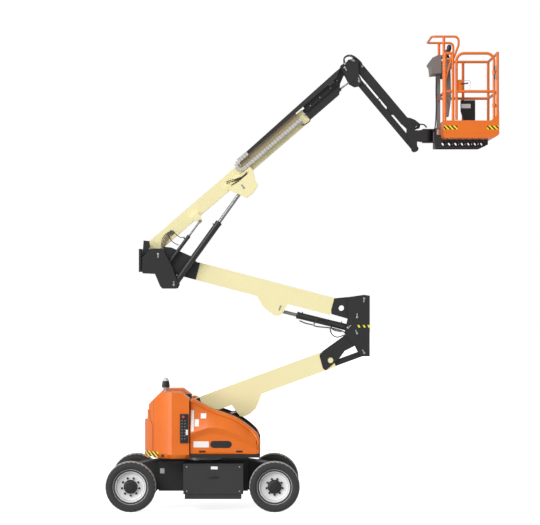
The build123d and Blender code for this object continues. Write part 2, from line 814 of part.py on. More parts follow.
# ---- hydraulic cylinders ----
def cylinder_pair(name, base, eye, y, barrel_r, rod_r, half_width, share=0.62, pin_r=PIN_R):
    """A barrel with a bored base eye, and a rod that slides in it and ends in a plain eye."""
    base_3d = Vector(base[0], y, base[1])
    eye_3d = Vector(eye[0], y, eye[1])
    reach = eye_3d - base_3d
    step = reach.normalized()
    mouth = base_3d + reach * share
    bore_from = base_3d + step * (barrel_r + 30)
    bore_half = max(half_width, barrel_r) + 1
    with BuildPart() as barrel:
        rod_between(base_3d, mouth, barrel_r)
        rod_y(base, max(barrel_r, pin_r + 14) + 3, y - half_width, y + half_width)
        rod_between(bore_from, mouth + step, rod_r + PIN_CLEARANCE, Mode.SUBTRACT)
        rod_y(base, pin_r + PIN_CLEARANCE, y - bore_half, y + bore_half, Mode.SUBTRACT)
    write(barrel, f"{name}_barrel")
    with BuildPart() as rod:
        rod_between(base_3d + reach * (share * 0.5), eye_3d, rod_r)
        rod_y(eye, rod_r * 1.5, y - half_width, y + half_width)
    write(rod, f"{name}_rod")


# Each row: name, base pin, rod eye, Y, barrel radius, rod radius, half width, barrel's share.
CYLINDERS = [
    ("tower_lift_cylinder", LIFT_1_BASE, LIFT_1_EYE, 0.0, 47.0, 28.0, 55.0, 0.75, PIN_R),
    ("arm_lift_cylinder", LIFT_2_BASE, LIFT_2_EYE, 0.0, 47.0, 24.0, 50.0, 0.75, PIN_R),
    ("boom_lift_cylinder", BOOM_LIFT_BASE, BOOM_LIFT_EYE, BOOM_LIFT_Y, 46.0, 26.0, 48.0, 0.65, PIN_R),
    ("master_cylinder", MASTER_BASE, MASTER_EYE, MASTER_Y, 26.0, 14.0, 14.0, 0.65, 14.0),
    ("slave_cylinder", SLAVE_BASE, SLAVE_EYE, 0.0, 26.0, 13.0, 30.0, 0.72, 14.0),
    ("jib_lift_cylinder", JIB_LIFT_BASE, JIB_LIFT_EYE, 0.0, 36.0, 18.0, 40.0, 0.72, 22.0),
]
for cylinder_row in CYLINDERS:
    cylinder_pair(*cylinder_row)


# ---- tower ----
def lower_arm():
    lobe = [
        (940, -26),
        (1058, -180),
        (1116, -190),
        (1200, -150),
        (1288, -71),
        (1335, 47),
        (1371, 160),
        (940, 5),
    ]
    with BuildPart() as piece:
        box_tube(
            ARM_1_PIN, ARM_1_ANGLE, ARM_1_TUBE, ARM_1_BELOW, ARM_1_ABOVE, ARM_1_HALF_WIDTH, ARM_WALL
        )
        slot_start = ARM_1_TUBE[0] - 1
        slot_top = ARM_1_BELOW + ARM_WALL + 1
        slot = [
            (slot_start, ARM_1_BELOW - 1),
            (slot_start, slot_top),
            (ARM_1_SLOT_END, slot_top),
            (ARM_1_SLOT_END, ARM_1_BELOW - 1),
        ]
        slot_half = CYLINDER_SLOT / 2
        plate(on_arm(ARM_1_PIN, ARM_1_ANGLE, slot), -slot_half, slot_half, mode=Mode.SUBTRACT)
        pair(about(ARM_1_PIN, lobe), ARM_1_HALF_WIDTH - 20, ARM_1_HALF_WIDTH)
        pair_y(LIFT_1_EYE, 42, ARM_1_HALF_WIDTH - 20, ARM_1_HALF_WIDTH + 4)
    write(piece, "lower_arm")


def lower_arm_ends():
    low_end = [
        (275, -344),
        (480, -344),
        (480, -84),
        (230, -84),
        (70, 40),
        (30, 68),
        (-30, 68),
        (-70, 20),
        (-60, -60),
        (40, -130),
        (75, -180),
        (150, -280),
    ]
    high_end = [
        (-536, -319),
        (-522, -285),
        (-142, -14),
        (-45, 55),
        (40, 55),
        (60, -10),
        (0, -100),
        (-27, -175),
        (-176, -251),
        (-244, -346),
        (-447, -529),
        (-488, -495),
    ]
    inner = ARM_1_HALF_WIDTH
    outer = inner + CHEEK
    with BuildPart() as piece:
        pair(on_arm(ARM_1_PIN, ARM_1_ANGLE, low_end), inner, outer)
        pair(about(ARM_1_TOP, high_end), inner, outer)
        pair_y(ARM_1_PIN, PIN_R + PIN_CLEARANCE, inner - 1, outer + 1, Mode.SUBTRACT)
        pair_y(ARM_1_TOP, PIN_R + PIN_CLEARANCE, inner - 1, outer + 1, Mode.SUBTRACT)
        pair_y(offset_point(ARM_1_TOP, (-380, -383)), 41, inner - 1, outer + 1, Mode.SUBTRACT)
    write(piece, "lower_arm_ends")


def lower_link():
    with BuildPart() as piece:
        bar = [
            (0, -LINK_HALF_DEPTH),
            (ARM_1_LENGTH, -LINK_HALF_DEPTH),
            (ARM_1_LENGTH, LINK_HALF_DEPTH),
            (0, LINK_HALF_DEPTH),
        ]
        pair(on_arm(LINK_LOW, ARM_1_ANGLE, bar), LINK_INNER_Y, LINK_OUTER_Y)
        for pin in (LINK_LOW, LINK_HIGH):
            pair_y(pin, LINK_HALF_DEPTH, LINK_INNER_Y, LINK_OUTER_Y)
            bore = SMALL_PIN_R + PIN_CLEARANCE
            pair_y(pin, bore, LINK_INNER_Y - 1, LINK_OUTER_Y + 1, Mode.SUBTRACT)
    write(piece, "lower_link")


def mid_upright():
    side = [
        (-130, 512),
        (109, 546),
        (180, 536),
        (180, -326),
        (60, -326),
        (11, -261),
        (-27, -183),
        (-159, -34),
        (-169, 20),
        (-129, 196),
    ]
    inner = ARM_1_HALF_WIDTH + CHEEK + CHEEK_GAP + 1
    outer = inner + UPRIGHT_PLATE
    with BuildPart() as piece:
        pair(about(ARM_1_TOP, side), inner, outer)
        block(
            (ARM_1_TOP[0] + 160, ARM_1_TOP[0] + 180),
            (-inner - 1, inner + 1),
            (ARM_1_TOP[1] - 326, ARM_1_TOP[1] + 536),
        )
        for pin in (ARM_1_TOP, ARM_2_LOW, LIFT_2_BASE):
            rod_y(pin, PIN_R, -outer - 6, outer + 6)
        lug = [(165, -240), (165, -320), (80, -315), (66, -279), (85, -245)]
        lug_in = LINK_OUTER_Y + SLIDE_GAP
        pair(about(ARM_1_TOP, lug), lug_in, lug_in + LINK_LUG)
        rod_y(LINK_HIGH, SMALL_PIN_R, -lug_in - LINK_LUG, lug_in + LINK_LUG)
        pair_y(LINK_HIGH, SMALL_PIN_R, inner + 1, outer + 6)
        pair_y(offset_point(ARM_2_LOW, (102, 267)), SMALL_PIN_R, inner + 1, outer + 6)
    write(piece, "mid_upright")


def upper_arm():
    lobe = [
        (-1447, 343),
        (-1427, 307),
        (-1332, 143),
        (-1183, 28),
        (-1115, 21),
        (-1046, 75),
        (-992, 185),
        (-967, 218),
    ]
    with BuildPart() as piece:
        box_tube(
            ARM_2_PIN, -ARM_2_ANGLE, ARM_2_TUBE, ARM_2_BELOW, ARM_2_ABOVE, ARM_2_HALF_WIDTH, ARM_WALL
        )
        tube_start = ARM_2_TUBE[0]
        slope = [
            (tube_start - 1, ARM_2_ABOVE - 80),
            (tube_start + 116, ARM_2_ABOVE + 1),
            (tube_start - 1, ARM_2_ABOVE + 1),
        ]
        reach = ARM_2_HALF_WIDTH + 1
        plate(on_arm(ARM_2_PIN, -ARM_2_ANGLE, slope), -reach, reach, mode=Mode.SUBTRACT)
        pair(about(ARM_2_LOW, lobe), ARM_2_HALF_WIDTH - 20, ARM_2_HALF_WIDTH)
        pair_y(LIFT_2_EYE, 42, ARM_2_HALF_WIDTH - 20, ARM_2_HALF_WIDTH + 4)
    write(piece, "upper_arm")


def upper_arm_ends():
    left_end = [
        (716, -67),
        (716, 183),
        (610, 176),
        (90, 50),
        (30, 62),
        (-40, 58),
        (-75, 0),
        (-40, -70),
        (60, -75),
        (520, -67),
    ]
    right_end = [
        (-369, 104),
        (-325, 267),
        (-130, 286),
        (-40, 130),
        (55, 40),
        (60, -20),
        (20, -58),
        (-40, -55),
        (-142, -18),
        (-359, 43),
    ]
    inner = ARM_2_HALF_WIDTH
    outer = inner + CHEEK
    with BuildPart() as piece:
        pair(on_arm(ARM_2_PIN, -ARM_2_ANGLE, left_end), inner, outer)
        pair(about(ARM_2_LOW, right_end), inner, outer)
        for pin in (ARM_2_PIN, ARM_2_LOW):
            pair_y(pin, PIN_R + PIN_CLEARANCE, inner - 1, outer + 1, Mode.SUBTRACT)
        pair_y(offset_point(ARM_2_LOW, (-221, 128)), 41, inner - 1, outer + 1, Mode.SUBTRACT)
    write(piece, "upper_arm_ends")


def upper_upright():
    boot = [
        (37, 198),
        (211, 198),
        (347, -64),
        (438, -316),
        (411, -371),
        (211, -371),
        (176, -335),
        (104, -163),
        (-68, -155),
        (-79, -128),
        (-68, 81),
    ]
    wing = [
        (40, 190),
        (238, 190),
        (300, -40),
        (330, -60),
        (420, -300),
        (400, -360),
        (310, -360),
        (250, -200),
        (60, -110),
        (-60, -110),
        (-79, 0),
        (-60, 90),
    ]
    inner = ARM_2_HALF_WIDTH + CHEEK + CHEEK_GAP + 1
    with BuildPart() as piece:
        pair(about(ARM_2_PIN, boot), 257, 275)
        pair(about(ARM_2_PIN, wing), 128, 143)
        rod_y(ARM_2_PIN, PIN_R, -275, 275)
        rod_y(BOOM_PIN, PIN_R, -275, 275)
        rod_y(BOOM_LIFT_BASE, PIN_R, -281, -128)
        rod_y(BOOM_LIFT_BASE, PIN_R, 128, 281)
        rod_y(MASTER_BASE, 14, -275, -128)
        for side in (LEFT, RIGHT):
            block(
                (ARM_2_PIN[0] - 79, ARM_2_PIN[0] - 60),
                sorted((side * inner, side * 275)),
                (ARM_2_PIN[1] - 100, ARM_2_PIN[1] + 75),
            )
    write(piece, "upper_upright")


lower_arm()
lower_arm_ends()
lower_link()
mid_upright()
upper_arm()
upper_arm_ends()
upper_upright()


# ---- main boom ----
def main_boom():
    root = [
        (-70, 30),
        (-60, 160),
        (0, 228),
        (280, 228),
        (280, 31),
        (130, 31),
        (72, -20),
        (30, -70),
        (-30, -70),
        (-70, -20),
    ]
    lug = [(690, 95), (700, 20), (735, -55), (780, -55), (805, 20), (815, 95)]
    lobe = [
        (1346, 95),
        (1346, 60),
        (1475, -215),
        (1585, -222),
        (1713, -190),
        (1730, -109),
        (1798, 20),
        (1798, 95),
    ]
    lug_foot = [(692, 36), (692, 95), (813, 95), (813, 36)]
    lobe_foot = [(1362, 36), (1362, 95), (1796, 95), (1796, 36)]
    with BuildPart() as piece:
        box_tube(
            BOOM_PIN, BOOM_ANGLE, (20, BOOM_END), BOOM_BELOW, BOOM_ABOVE, BOOM_HALF_WIDTH, BOOM_WALL
        )
        pair(on_arm(BOOM_PIN, BOOM_ANGLE, root), BOOM_HALF_WIDTH - 18, BOOM_HALF_WIDTH)
        for foot, ear in ((lug_foot, lug), (lobe_foot, lobe)):
            plate(on_arm(BOOM_PIN, BOOM_ANGLE, foot), -125, -BOOM_HALF_WIDTH)
            plate(on_arm(BOOM_PIN, BOOM_ANGLE, ear), -146, -124)
        pad_span = (BOOM_END - PAD_LENGTH, BOOM_END - 5)
        floor = BOOM_BELOW + BOOM_WALL
        ceiling = BOOM_ABOVE - BOOM_WALL
        depth = SLIDE_GAP - SEAT_GAP
        for low, high in ((floor - 1, floor + depth), (ceiling - depth, ceiling + 1)):
            pad = [(s, n) for s in pad_span for n in (low, high)]
            plate(on_arm(BOOM_PIN, BOOM_ANGLE, [pad[0], pad[1], pad[3], pad[2]]), -50, 50)
        cheek = [(pad_span[0], 90), (pad_span[0], 170), (pad_span[1], 170), (pad_span[1], 90)]
        inner = BOOM_HALF_WIDTH - BOOM_WALL
        pair(on_arm(BOOM_PIN, BOOM_ANGLE, cheek), inner - depth, inner + 1)
        rod_y(BOOM_PIN, PIN_R + PIN_CLEARANCE, -100, 100, Mode.SUBTRACT)
    write(piece, "main_boom")


def fly_boom():
    below = BOOM_BELOW + BOOM_WALL + SLIDE_GAP
    above = BOOM_ABOVE - BOOM_WALL - SLIDE_GAP
    half = BOOM_HALF_WIDTH - BOOM_WALL - SLIDE_GAP
    nose = [
        (3300, 42),
        (3440, 42),
        (3549, 150),
        (3664, 205),
        (3746, 211),
        (3800, 245),
        (3812, 290),
        (3780, 338),
        (3720, 342),
        (3560, 240),
        (3300, 217),
    ]
    with BuildPart() as piece:
        box_tube(BOOM_PIN, BOOM_ANGLE, (FLY_START, FLY_END), below, above, half, FLY_WALL)
        pair(on_arm(BOOM_PIN, BOOM_ANGLE, nose), half - 20, half)
        plate(
            on_arm(BOOM_PIN, BOOM_ANGLE, [(2895, 42), (3060, 42), (3060, 48), (2895, 48)]), -half, half
        )
        rod_y(YOKE_PIN, PIN_R + PIN_CLEARANCE, -100, 100, Mode.SUBTRACT)
        rod_y(SLAVE_BASE, 14, -half + 1, half - 1)
        slot = [(3380, 30), (3460, 30), (3660, 230), (3380, 150)]
        plate(on_arm(BOOM_PIN, BOOM_ANGLE, slot), -34, 34, mode=Mode.SUBTRACT)
    write(piece, "fly_boom")


def cable_track():
    inner = BOOM_HALF_WIDTH + 2
    outer = inner + 70
    with BuildPart() as base:
        loop = [
            (TRACK_START, 100),
            (TRACK_START, 128),
            (BOOM_END - 160, 128),
            (BOOM_END - 160, 100),
        ]
        plate(on_arm(BOOM_PIN, BOOM_ANGLE, loop), -outer, -BOOM_HALF_WIDTH)
        bend = [(0, 100), (-80, 150), (-90, 220), (-10, 288), (0, 260), (-50, 210), (-30, 160), (0, 128)]
        turn = [(TRACK_START + s, n) for s, n in bend]
        plate(on_arm(BOOM_PIN, BOOM_ANGLE, turn), -outer, -BOOM_HALF_WIDTH)
    write(base, "cable_track_base")
    with BuildPart() as top:
        run = [(TRACK_START + 10, 245), (TRACK_START + 10, 285), (3560, 318), (3690, 318), (3560, 245)]
        plate(on_arm(BOOM_PIN, BOOM_ANGLE, run), -outer, -inner)
        foot = [(3400, 215), (3400, 245), (3500, 245), (3500, 215)]
        plate(on_arm(BOOM_PIN, BOOM_ANGLE, foot), -outer, -69)
    write(top, "cable_track_top")


def yoke():
    side = [
        (11, 67),
        (48, 112),
        (111, 130),
        (187, 100),
        (202, -95),
        (235, -168),
        (243, -215),
        (210, -255),
        (140, -269),
        (61, -224),
        (7, -118),
        (-48, -34),
        (-55, 37),
    ]
    with BuildPart() as piece:
        pair(about(YOKE_PIN, side), YOKE_INNER_Y, YOKE_OUTER_Y)
        rod_y(YOKE_PIN, PIN_R, -YOKE_OUTER_Y - 6, YOKE_OUTER_Y + 6)
        rod_y(JIB_PIN, SMALL_PIN_R, -YOKE_OUTER_Y - 6, YOKE_OUTER_Y + 6)
        rod_y(JIB_LINK_PIN, SMALL_PIN_R, -YOKE_OUTER_Y - 6, YOKE_OUTER_Y + 6)
        pair_y(SLAVE_EYE, 26, YOKE_OUTER_Y, YOKE_OUTER_Y + 6)
    write(piece, "yoke")


def jib():
    hook = [
        (-140, 67),
        (-100, 100),
        (-40, 130),
        (60, 150),
        (90, 100),
        (45, 0),
        (30, -40),
        (-40, -45),
        (-160, -57),
    ]
    root = [
        (-40, 30),
        (0, 48),
        (60, 45),
        (160, 45),
        (200, 67),
        (260, 67),
        (260, -57),
        (100, -57),
        (0, -46),
        (-40, -25),
    ]
    with BuildPart() as piece:
        box_tube(
            JIB_PIN, JIB_ANGLE, (130, JIB_LENGTH - 110), JIB_BELOW, JIB_ABOVE, JIB_HALF_WIDTH, JIB_WALL
        )
        plate(on_arm(JIB_PIN, JIB_ANGLE, root), -JIB_HALF_WIDTH, JIB_HALF_WIDTH)
        hook_points = [(JIB_LENGTH + s, n) for s, n in hook]
        plate(on_arm(JIB_PIN, JIB_ANGLE, hook_points), -JIB_HALF_WIDTH, JIB_HALF_WIDTH)
        for pin in (JIB_PIN, JIB_TOP):
            rod_y(pin, SMALL_PIN_R + PIN_CLEARANCE, -60, 60, Mode.SUBTRACT)
        slot = [(190, JIB_BELOW - 1), (190, -32), (960, -32), (960, JIB_BELOW - 1)]
        plate(on_arm(JIB_PIN, JIB_ANGLE, slot), -JIB_SLOT / 2, JIB_SLOT / 2, mode=Mode.SUBTRACT)
        eye_lug = [(810, -56), (860, -140), (900, -140), (950, -56)]
        pair(on_arm(JIB_PIN, JIB_ANGLE, eye_lug), JIB_SLOT / 2, JIB_HALF_WIDTH)
    write(piece, "jib_boom")


def jib_link():
    depth = JIB_LINK_HALF_DEPTH
    bar = [(0, -depth), (JIB_LENGTH, -depth), (JIB_LENGTH, depth), (0, depth)]
    with BuildPart() as piece:
        pair(on_arm(JIB_LINK_PIN, JIB_ANGLE, bar), JIB_LINK_INNER_Y, JIB_LINK_OUTER_Y)
        for pin in (JIB_LINK_PIN, JIB_LINK_TOP):
            pair_y(pin, depth, JIB_LINK_INNER_Y, JIB_LINK_OUTER_Y)
            pair_y(
                pin, SMALL_PIN_R + PIN_CLEARANCE, JIB_LINK_INNER_Y - 1, JIB_LINK_OUTER_Y + 1, Mode.SUBTRACT
            )
    write(piece, "jib_link")


def jib_head():
    side = [
        (-45, 20),
        (-10, 50),
        (45, 40),
        (70, -35),
        (168, -35),
        (168, -190),
        (98, -190),
        (98, -240),
        (108, -321),
        (60, -345),
        (30, -325),
        (10, -250),
        (-45, -120),
    ]
    with BuildPart() as piece:
        pair(about(JIB_TOP, side), YOKE_INNER_Y, YOKE_OUTER_Y)
        rod_y(JIB_TOP, SMALL_PIN_R, -YOKE_OUTER_Y - 6, YOKE_OUTER_Y + 6)
        rod_y(JIB_LINK_TOP, SMALL_PIN_R, -YOKE_OUTER_Y - 6, YOKE_OUTER_Y + 6)
        block(
            (JIB_TOP[0] + 148, JIB_TOP[0] + ROTATOR_OFFSET),
            (-YOKE_OUTER_Y, YOKE_OUTER_Y),
            (ROTATOR_Z - 83, ROTATOR_Z + 83),
        )
        with Locations((ROTATOR_X, 0, ROTATOR_Z)):
            Cylinder(YOKE_OUTER_Y, 166)
            Cylinder(ROTATOR_PIN_R + PIN_CLEARANCE, 200, mode=Mode.SUBTRACT)
    write(piece, "jib_head")


main_boom()
fly_boom()
cable_track()
yoke()
jib()
jib_link()
jib_head()


# ---- platform ----
MOUNT_X = ROTATOR_X + ROTATOR_OFFSET / 2 + 1


def platform_mount():
    plate_in = 83 + FACE_GAP
    with BuildPart() as piece:
        for low in (ROTATOR_Z - plate_in - 14, ROTATOR_Z + plate_in):
            block((ROTATOR_X - 50, MOUNT_X), (-85, 85), (low, low + 14))
        with Locations((ROTATOR_X, 0, ROTATOR_Z)):
            Cylinder(ROTATOR_PIN_R, 2 * plate_in + 28)
        block((MOUNT_X - 1, MOUNT_X + 20), (-260, 260), (FLOOR_LOW - MOUNT_DEPTH, ROTATOR_Z + plate_in + 14))
        for side in (LEFT, RIGHT):
            y_range = sorted((side * 200, side * 260))
            beam = [
                (MOUNT_X + 19, FLOOR_LOW - MOUNT_DEPTH),
                (PLATFORM_RIGHT - 215, FLOOR_LOW - MOUNT_DEPTH),
                (PLATFORM_RIGHT - 115, FLOOR_LOW - 140),
                (PLATFORM_RIGHT - 115, FLOOR_LOW),
                (MOUNT_X + 19, FLOOR_LOW),
            ]
            plate(beam, *y_range)
            for hole in range(7):
                centre = (PLATFORM_LEFT + 41 + 92 * hole, FLOOR_LOW - 122)
                rod_y(centre, 34, y_range[0] - 1, y_range[1] + 1, Mode.SUBTRACT)
    write(piece, "platform_mount")


def platform_floor():
    with BuildPart() as piece:
        block(
            (PLATFORM_LEFT, PLATFORM_RIGHT),
            (-PLATFORM_HALF_WIDTH, PLATFORM_HALF_WIDTH),
            (FLOOR_LOW, FLOOR_TOP),
        )
    write(piece, "platform_floor")


def toe_boards():
    with BuildPart() as piece:
        low = FLOOR_TOP
        block(
            (PLATFORM_LEFT, PLATFORM_RIGHT),
            (-PLATFORM_HALF_WIDTH, PLATFORM_HALF_WIDTH),
            (low, TOE_TOP),
        )
        block(
            (PLATFORM_LEFT + TOE_THICK, PLATFORM_RIGHT - TOE_THICK),
            (TOE_THICK - PLATFORM_HALF_WIDTH, PLATFORM_HALF_WIDTH - TOE_THICK),
            (low, TOE_TOP),
            Mode.SUBTRACT,
        )
        gusset = [
            (PLATFORM_RIGHT - 1, TOE_TOP - 1),
            (PLATFORM_RIGHT - 1, TOE_TOP + 130),
            (PLATFORM_RIGHT - 75, TOE_TOP - 1),
        ]
        pair(gusset, PLATFORM_HALF_WIDTH - TOE_THICK, PLATFORM_HALF_WIDTH)
    write(piece, "toe_boards")


RAIL_IN = TOE_THICK + RAIL_R
RAIL_LEFT = PLATFORM_LEFT + RAIL_IN
RAIL_RIGHT = PLATFORM_RIGHT - RAIL_IN
RAIL_Y = PLATFORM_HALF_WIDTH - RAIL_IN
RAIL_FOOT = FLOOR_TOP
GATE_POST_X = PLATFORM_LEFT + 135
GATE_GAP = 8.0
GUARD_R = 16.0
GUARD_LEFT = RAIL_LEFT - 168
GATE_LEFT = GATE_POST_X + 2 * RAIL_R + GATE_GAP
GATE_RIGHT = RAIL_RIGHT - 2 * RAIL_R - GATE_GAP
GATE_LOW = FLOOR_LOW + 260
HINGE_HEIGHTS = (FLOOR_LOW + 360, FLOOR_LOW + 820)
HINGE_HEIGHT = 50.0
HINGE_WALL = 6.5
CONSOLE_HALF_WIDTH = 300.0
COLUMN_HALF_WIDTH = 90.0


def platform_rails():
    with BuildPart() as piece:
        # Each row: X, Y, top Z of a post.
        for x, y, top in [
            (RAIL_LEFT, -RAIL_Y, TOP_RAIL_Z),
            (GATE_POST_X, -RAIL_Y, TOP_RAIL_Z),
            (RAIL_RIGHT, -RAIL_Y, TOP_RAIL_Z + RAIL_R),
            (RAIL_RIGHT, RAIL_Y, TOP_RAIL_Z),
            (RAIL_LEFT, RAIL_Y, TOP_RAIL_Z),
            ((RAIL_LEFT + RAIL_RIGHT) / 2, RAIL_Y, TOP_RAIL_Z),
            (RAIL_LEFT, -GUARD_Y, GUARD_Z),
            (RAIL_LEFT, GUARD_Y, GUARD_Z),
        ]:
            rod_between((x, y, RAIL_FOOT), (x, y, top), RAIL_R)
        for z in (MID_RAIL_Z, TOP_RAIL_Z):
            rod_between((RAIL_LEFT, -RAIL_Y, z), (GATE_POST_X, -RAIL_Y, z), RAIL_R)
            rod_between((RAIL_RIGHT, -RAIL_Y, z), (RAIL_RIGHT, RAIL_Y, z), RAIL_R)
            rod_between((RAIL_LEFT, RAIL_Y, z), (RAIL_RIGHT, RAIL_Y, z), RAIL_R)
            rod_between((RAIL_LEFT, -RAIL_Y, z), (RAIL_LEFT, RAIL_Y, z), RAIL_R)
        guard_x = GATE_POST_X + 96
        guard_low = TOP_RAIL_Z - 70
        near_leg = [
            (RAIL_LEFT, -GUARD_Y, guard_low),
            (GATE_POST_X + 17, -GUARD_Y, guard_low),
            (guard_x, -GUARD_Y, GUARD_Z - 120),
            (guard_x, -GUARD_Y, GUARD_Z),
            (GUARD_LEFT, -GUARD_Y, GUARD_Z),
        ]
        far_leg = [(x, -y, z) for x, y, z in reversed(near_leg)]
        bends = [40, 50, 60, 50]
        tube_run(near_leg + far_leg, bends + bends[::-1], GUARD_R)
        brace_foot = (RAIL_LEFT, -RAIL_Y, TOP_RAIL_Z - 402)
        rod_between(brace_foot, (GATE_POST_X - 5, -RAIL_Y, TOP_RAIL_Z), BRACE_R)
        for low in HINGE_HEIGHTS:
            with BuildSketch(Plane.XY.offset(low)) as sleeve:
                with Locations((GATE_RIGHT, -RAIL_Y)):
                    Circle(RAIL_R + HINGE_WALL)
                with Locations(((GATE_RIGHT + RAIL_RIGHT) / 2, -RAIL_Y)):
                    Rectangle(RAIL_RIGHT - GATE_RIGHT, 16)
                with Locations((GATE_RIGHT, -RAIL_Y)):
                    Circle(RAIL_R + PIN_CLEARANCE, mode=Mode.SUBTRACT)
            extrude(sleeve.sketch, amount=HINGE_HEIGHT)
    write(piece, "platform_rails")


def gate():
    with BuildPart() as piece:
        y = -RAIL_Y
        tube_run(
            [
                (GATE_LEFT, y, TOE_TOP + GATE_GAP),
                (GATE_LEFT, y, TOP_RAIL_Z),
                (GATE_RIGHT, y, TOP_RAIL_Z),
                (GATE_RIGHT, y, TOE_TOP + GATE_GAP),
            ],
            [110, 110],
            RAIL_R,
        )
        rod_between((GATE_LEFT, y, MID_RAIL_Z), (GATE_RIGHT, y, MID_RAIL_Z), RAIL_R)
        block((GATE_LEFT - 10, GATE_LEFT + 80), (y - 4, y + 4), (MID_RAIL_Z, MID_RAIL_Z + 165))
    write(piece, "platform_gate")


def console():
    left_face = RAIL_LEFT - RAIL_R - SEAT_GAP
    right_face = RAIL_LEFT + RAIL_R + SEAT_GAP
    low = MID_RAIL_Z + 281
    left_box = [
        (left_face, low + 11),
        (left_face, low + 268),
        (left_face - 46, low + 268),
        (left_face - 126, low + 230),
        (left_face - 176, low + 160),
        (left_face - 146, low + 110),
        (left_face - 136, low),
    ]
    right_box = [
        (right_face, low + 24),
        (right_face, low + 215),
        (right_face + 64, low + 210),
        (right_face + 114, low + 170),
        (right_face + 104, low + 70),
        (right_face + 28, low + 29),
    ]
    column = [
        (right_face, low + 60),
        (right_face + 104, low + 80),
        (right_face + 114, MID_RAIL_Z - 50),
        (right_face + 80, GATE_LOW + 10),
        (right_face, GATE_LOW + 10),
    ]
    mast_foot = ROTATOR_Z + 98 + SEAT_GAP
    with BuildPart() as piece:
        plate(left_box, -CONSOLE_HALF_WIDTH, CONSOLE_HALF_WIDTH)
        plate(right_box, -CONSOLE_HALF_WIDTH, CONSOLE_HALF_WIDTH)
        plate(column, -COLUMN_HALF_WIDTH, COLUMN_HALF_WIDTH)
        mast_x = (left_face - 42, PLATFORM_LEFT - SEAT_GAP)
        block(mast_x, (-COLUMN_HALF_WIDTH, COLUMN_HALF_WIDTH), (mast_foot, low + 40))
        bridge_y = (-COLUMN_HALF_WIDTH + 20, COLUMN_HALF_WIDTH - 20)
        block((left_face - 60, right_face + 40), bridge_y, (low - 50, low + 40))
    write(piece, "platform_console")


def document_box():
    left = PLATFORM_LEFT + 351
    right = PLATFORM_LEFT + 561
    low = GATE_LOW
    pouch = [
        (left, low + 130),
        (left + 42, low),
        (right, low),
        (right, low + 290),
        (left, low + 290),
    ]
    with BuildPart() as piece:
        plate(pouch, RAIL_Y - RAIL_R - 72, RAIL_Y - RAIL_R)
    write(piece, "document_box")


platform_mount()
platform_floor()
toe_boards()
platform_rails()
gate()
console()
document_box()
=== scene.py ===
# %% [markdown]
# This scene dresses an articulating boom lift, a self-propelled work platform on a
# folding tower. The steel shapes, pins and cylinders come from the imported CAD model.
# Blender adds what a fabricator adds last: paint, rubber, hoses, cable track, bolts,
# labels and the small castings. Each cell first says what the real piece is.
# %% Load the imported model
import json
import math

import bpy
import numpy as np
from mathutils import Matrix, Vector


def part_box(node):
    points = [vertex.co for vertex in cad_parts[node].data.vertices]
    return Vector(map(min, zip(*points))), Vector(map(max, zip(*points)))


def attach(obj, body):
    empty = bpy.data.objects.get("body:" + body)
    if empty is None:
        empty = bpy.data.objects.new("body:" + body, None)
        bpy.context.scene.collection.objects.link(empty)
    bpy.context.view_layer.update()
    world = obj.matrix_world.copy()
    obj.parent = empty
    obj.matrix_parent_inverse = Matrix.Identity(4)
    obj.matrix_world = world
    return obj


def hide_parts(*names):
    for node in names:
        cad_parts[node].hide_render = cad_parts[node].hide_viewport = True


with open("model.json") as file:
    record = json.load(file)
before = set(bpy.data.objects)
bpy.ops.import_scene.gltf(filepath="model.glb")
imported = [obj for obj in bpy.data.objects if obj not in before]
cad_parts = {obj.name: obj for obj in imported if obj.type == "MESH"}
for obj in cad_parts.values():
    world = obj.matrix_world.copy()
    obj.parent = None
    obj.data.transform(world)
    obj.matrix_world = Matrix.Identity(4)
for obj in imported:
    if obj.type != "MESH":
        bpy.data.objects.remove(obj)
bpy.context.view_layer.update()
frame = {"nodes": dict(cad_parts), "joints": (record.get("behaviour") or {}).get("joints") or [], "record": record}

# %% [markdown]
# Everything hangs on the pins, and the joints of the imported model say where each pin
# is. The boom leans back, so it has a frame of its own, with its origin on its pin and
# the telescope's line as first axis. A point in it is (along, side, up) in metres, and
# side is the machine's Y axis. Near means the side at low Y, far the other one.
# %% Pins and the boom's frame
joints = {joint["name"]: joint for joint in frame["joints"]}
pin = {name: np.array(joint["pos_m"]) for name, joint in joints.items() if joint.get("pos_m")}
NEAR, FAR = SIDES = (-1.0, 1.0)
UP = (0.0, 0.0, 1.0)
slew_x = pin["turntable_swing"][0]
slide_axis = joints["telescope"]["axis"]
boom_angle = math.atan2(slide_axis[2], slide_axis[0])
print("boom pin", np.round(pin["main_lift"], 3).tolist(), "leans", round(boom_angle, 3))


def on_boom(points):
    """Boom points to the world: turned about Y by the boom's angle, then moved to its pin."""
    flat = np.atleast_2d(np.asarray(points, float))
    cosine, sine = math.cos(boom_angle), math.sin(boom_angle)
    x = flat[:, 0] * cosine - flat[:, 2] * sine
    z = flat[:, 0] * sine + flat[:, 2] * cosine
    return np.column_stack([x, flat[:, 1], z]) + pin["main_lift"]


def box_of(node):
    """Lowest and highest corner of a CAD node, as two arrays."""
    low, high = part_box(node)
    return np.array(low), np.array(high)


# %% [markdown]
# A material is a short graph of nodes. One helper adds any node with its settings and
# what feeds it, so that each finish below reads as a list of layers. Colours are
# written as sRGB hex, the way a paint chart gives them, and turned to linear once.
# %% Helpers for materials
def linear(colour):
    """sRGB hex text to linear RGBA: ((c + 0.055) / 1.055) to the power 2.4, straight below 0.04."""
    values = np.array([int(colour[k : k + 2], 16) for k in (1, 3, 5)]) / 255
    high = ((values + 0.055) / 1.055) ** 2.4
    return (*np.where(values <= 0.04045, values / 12.92, high), 1.0)


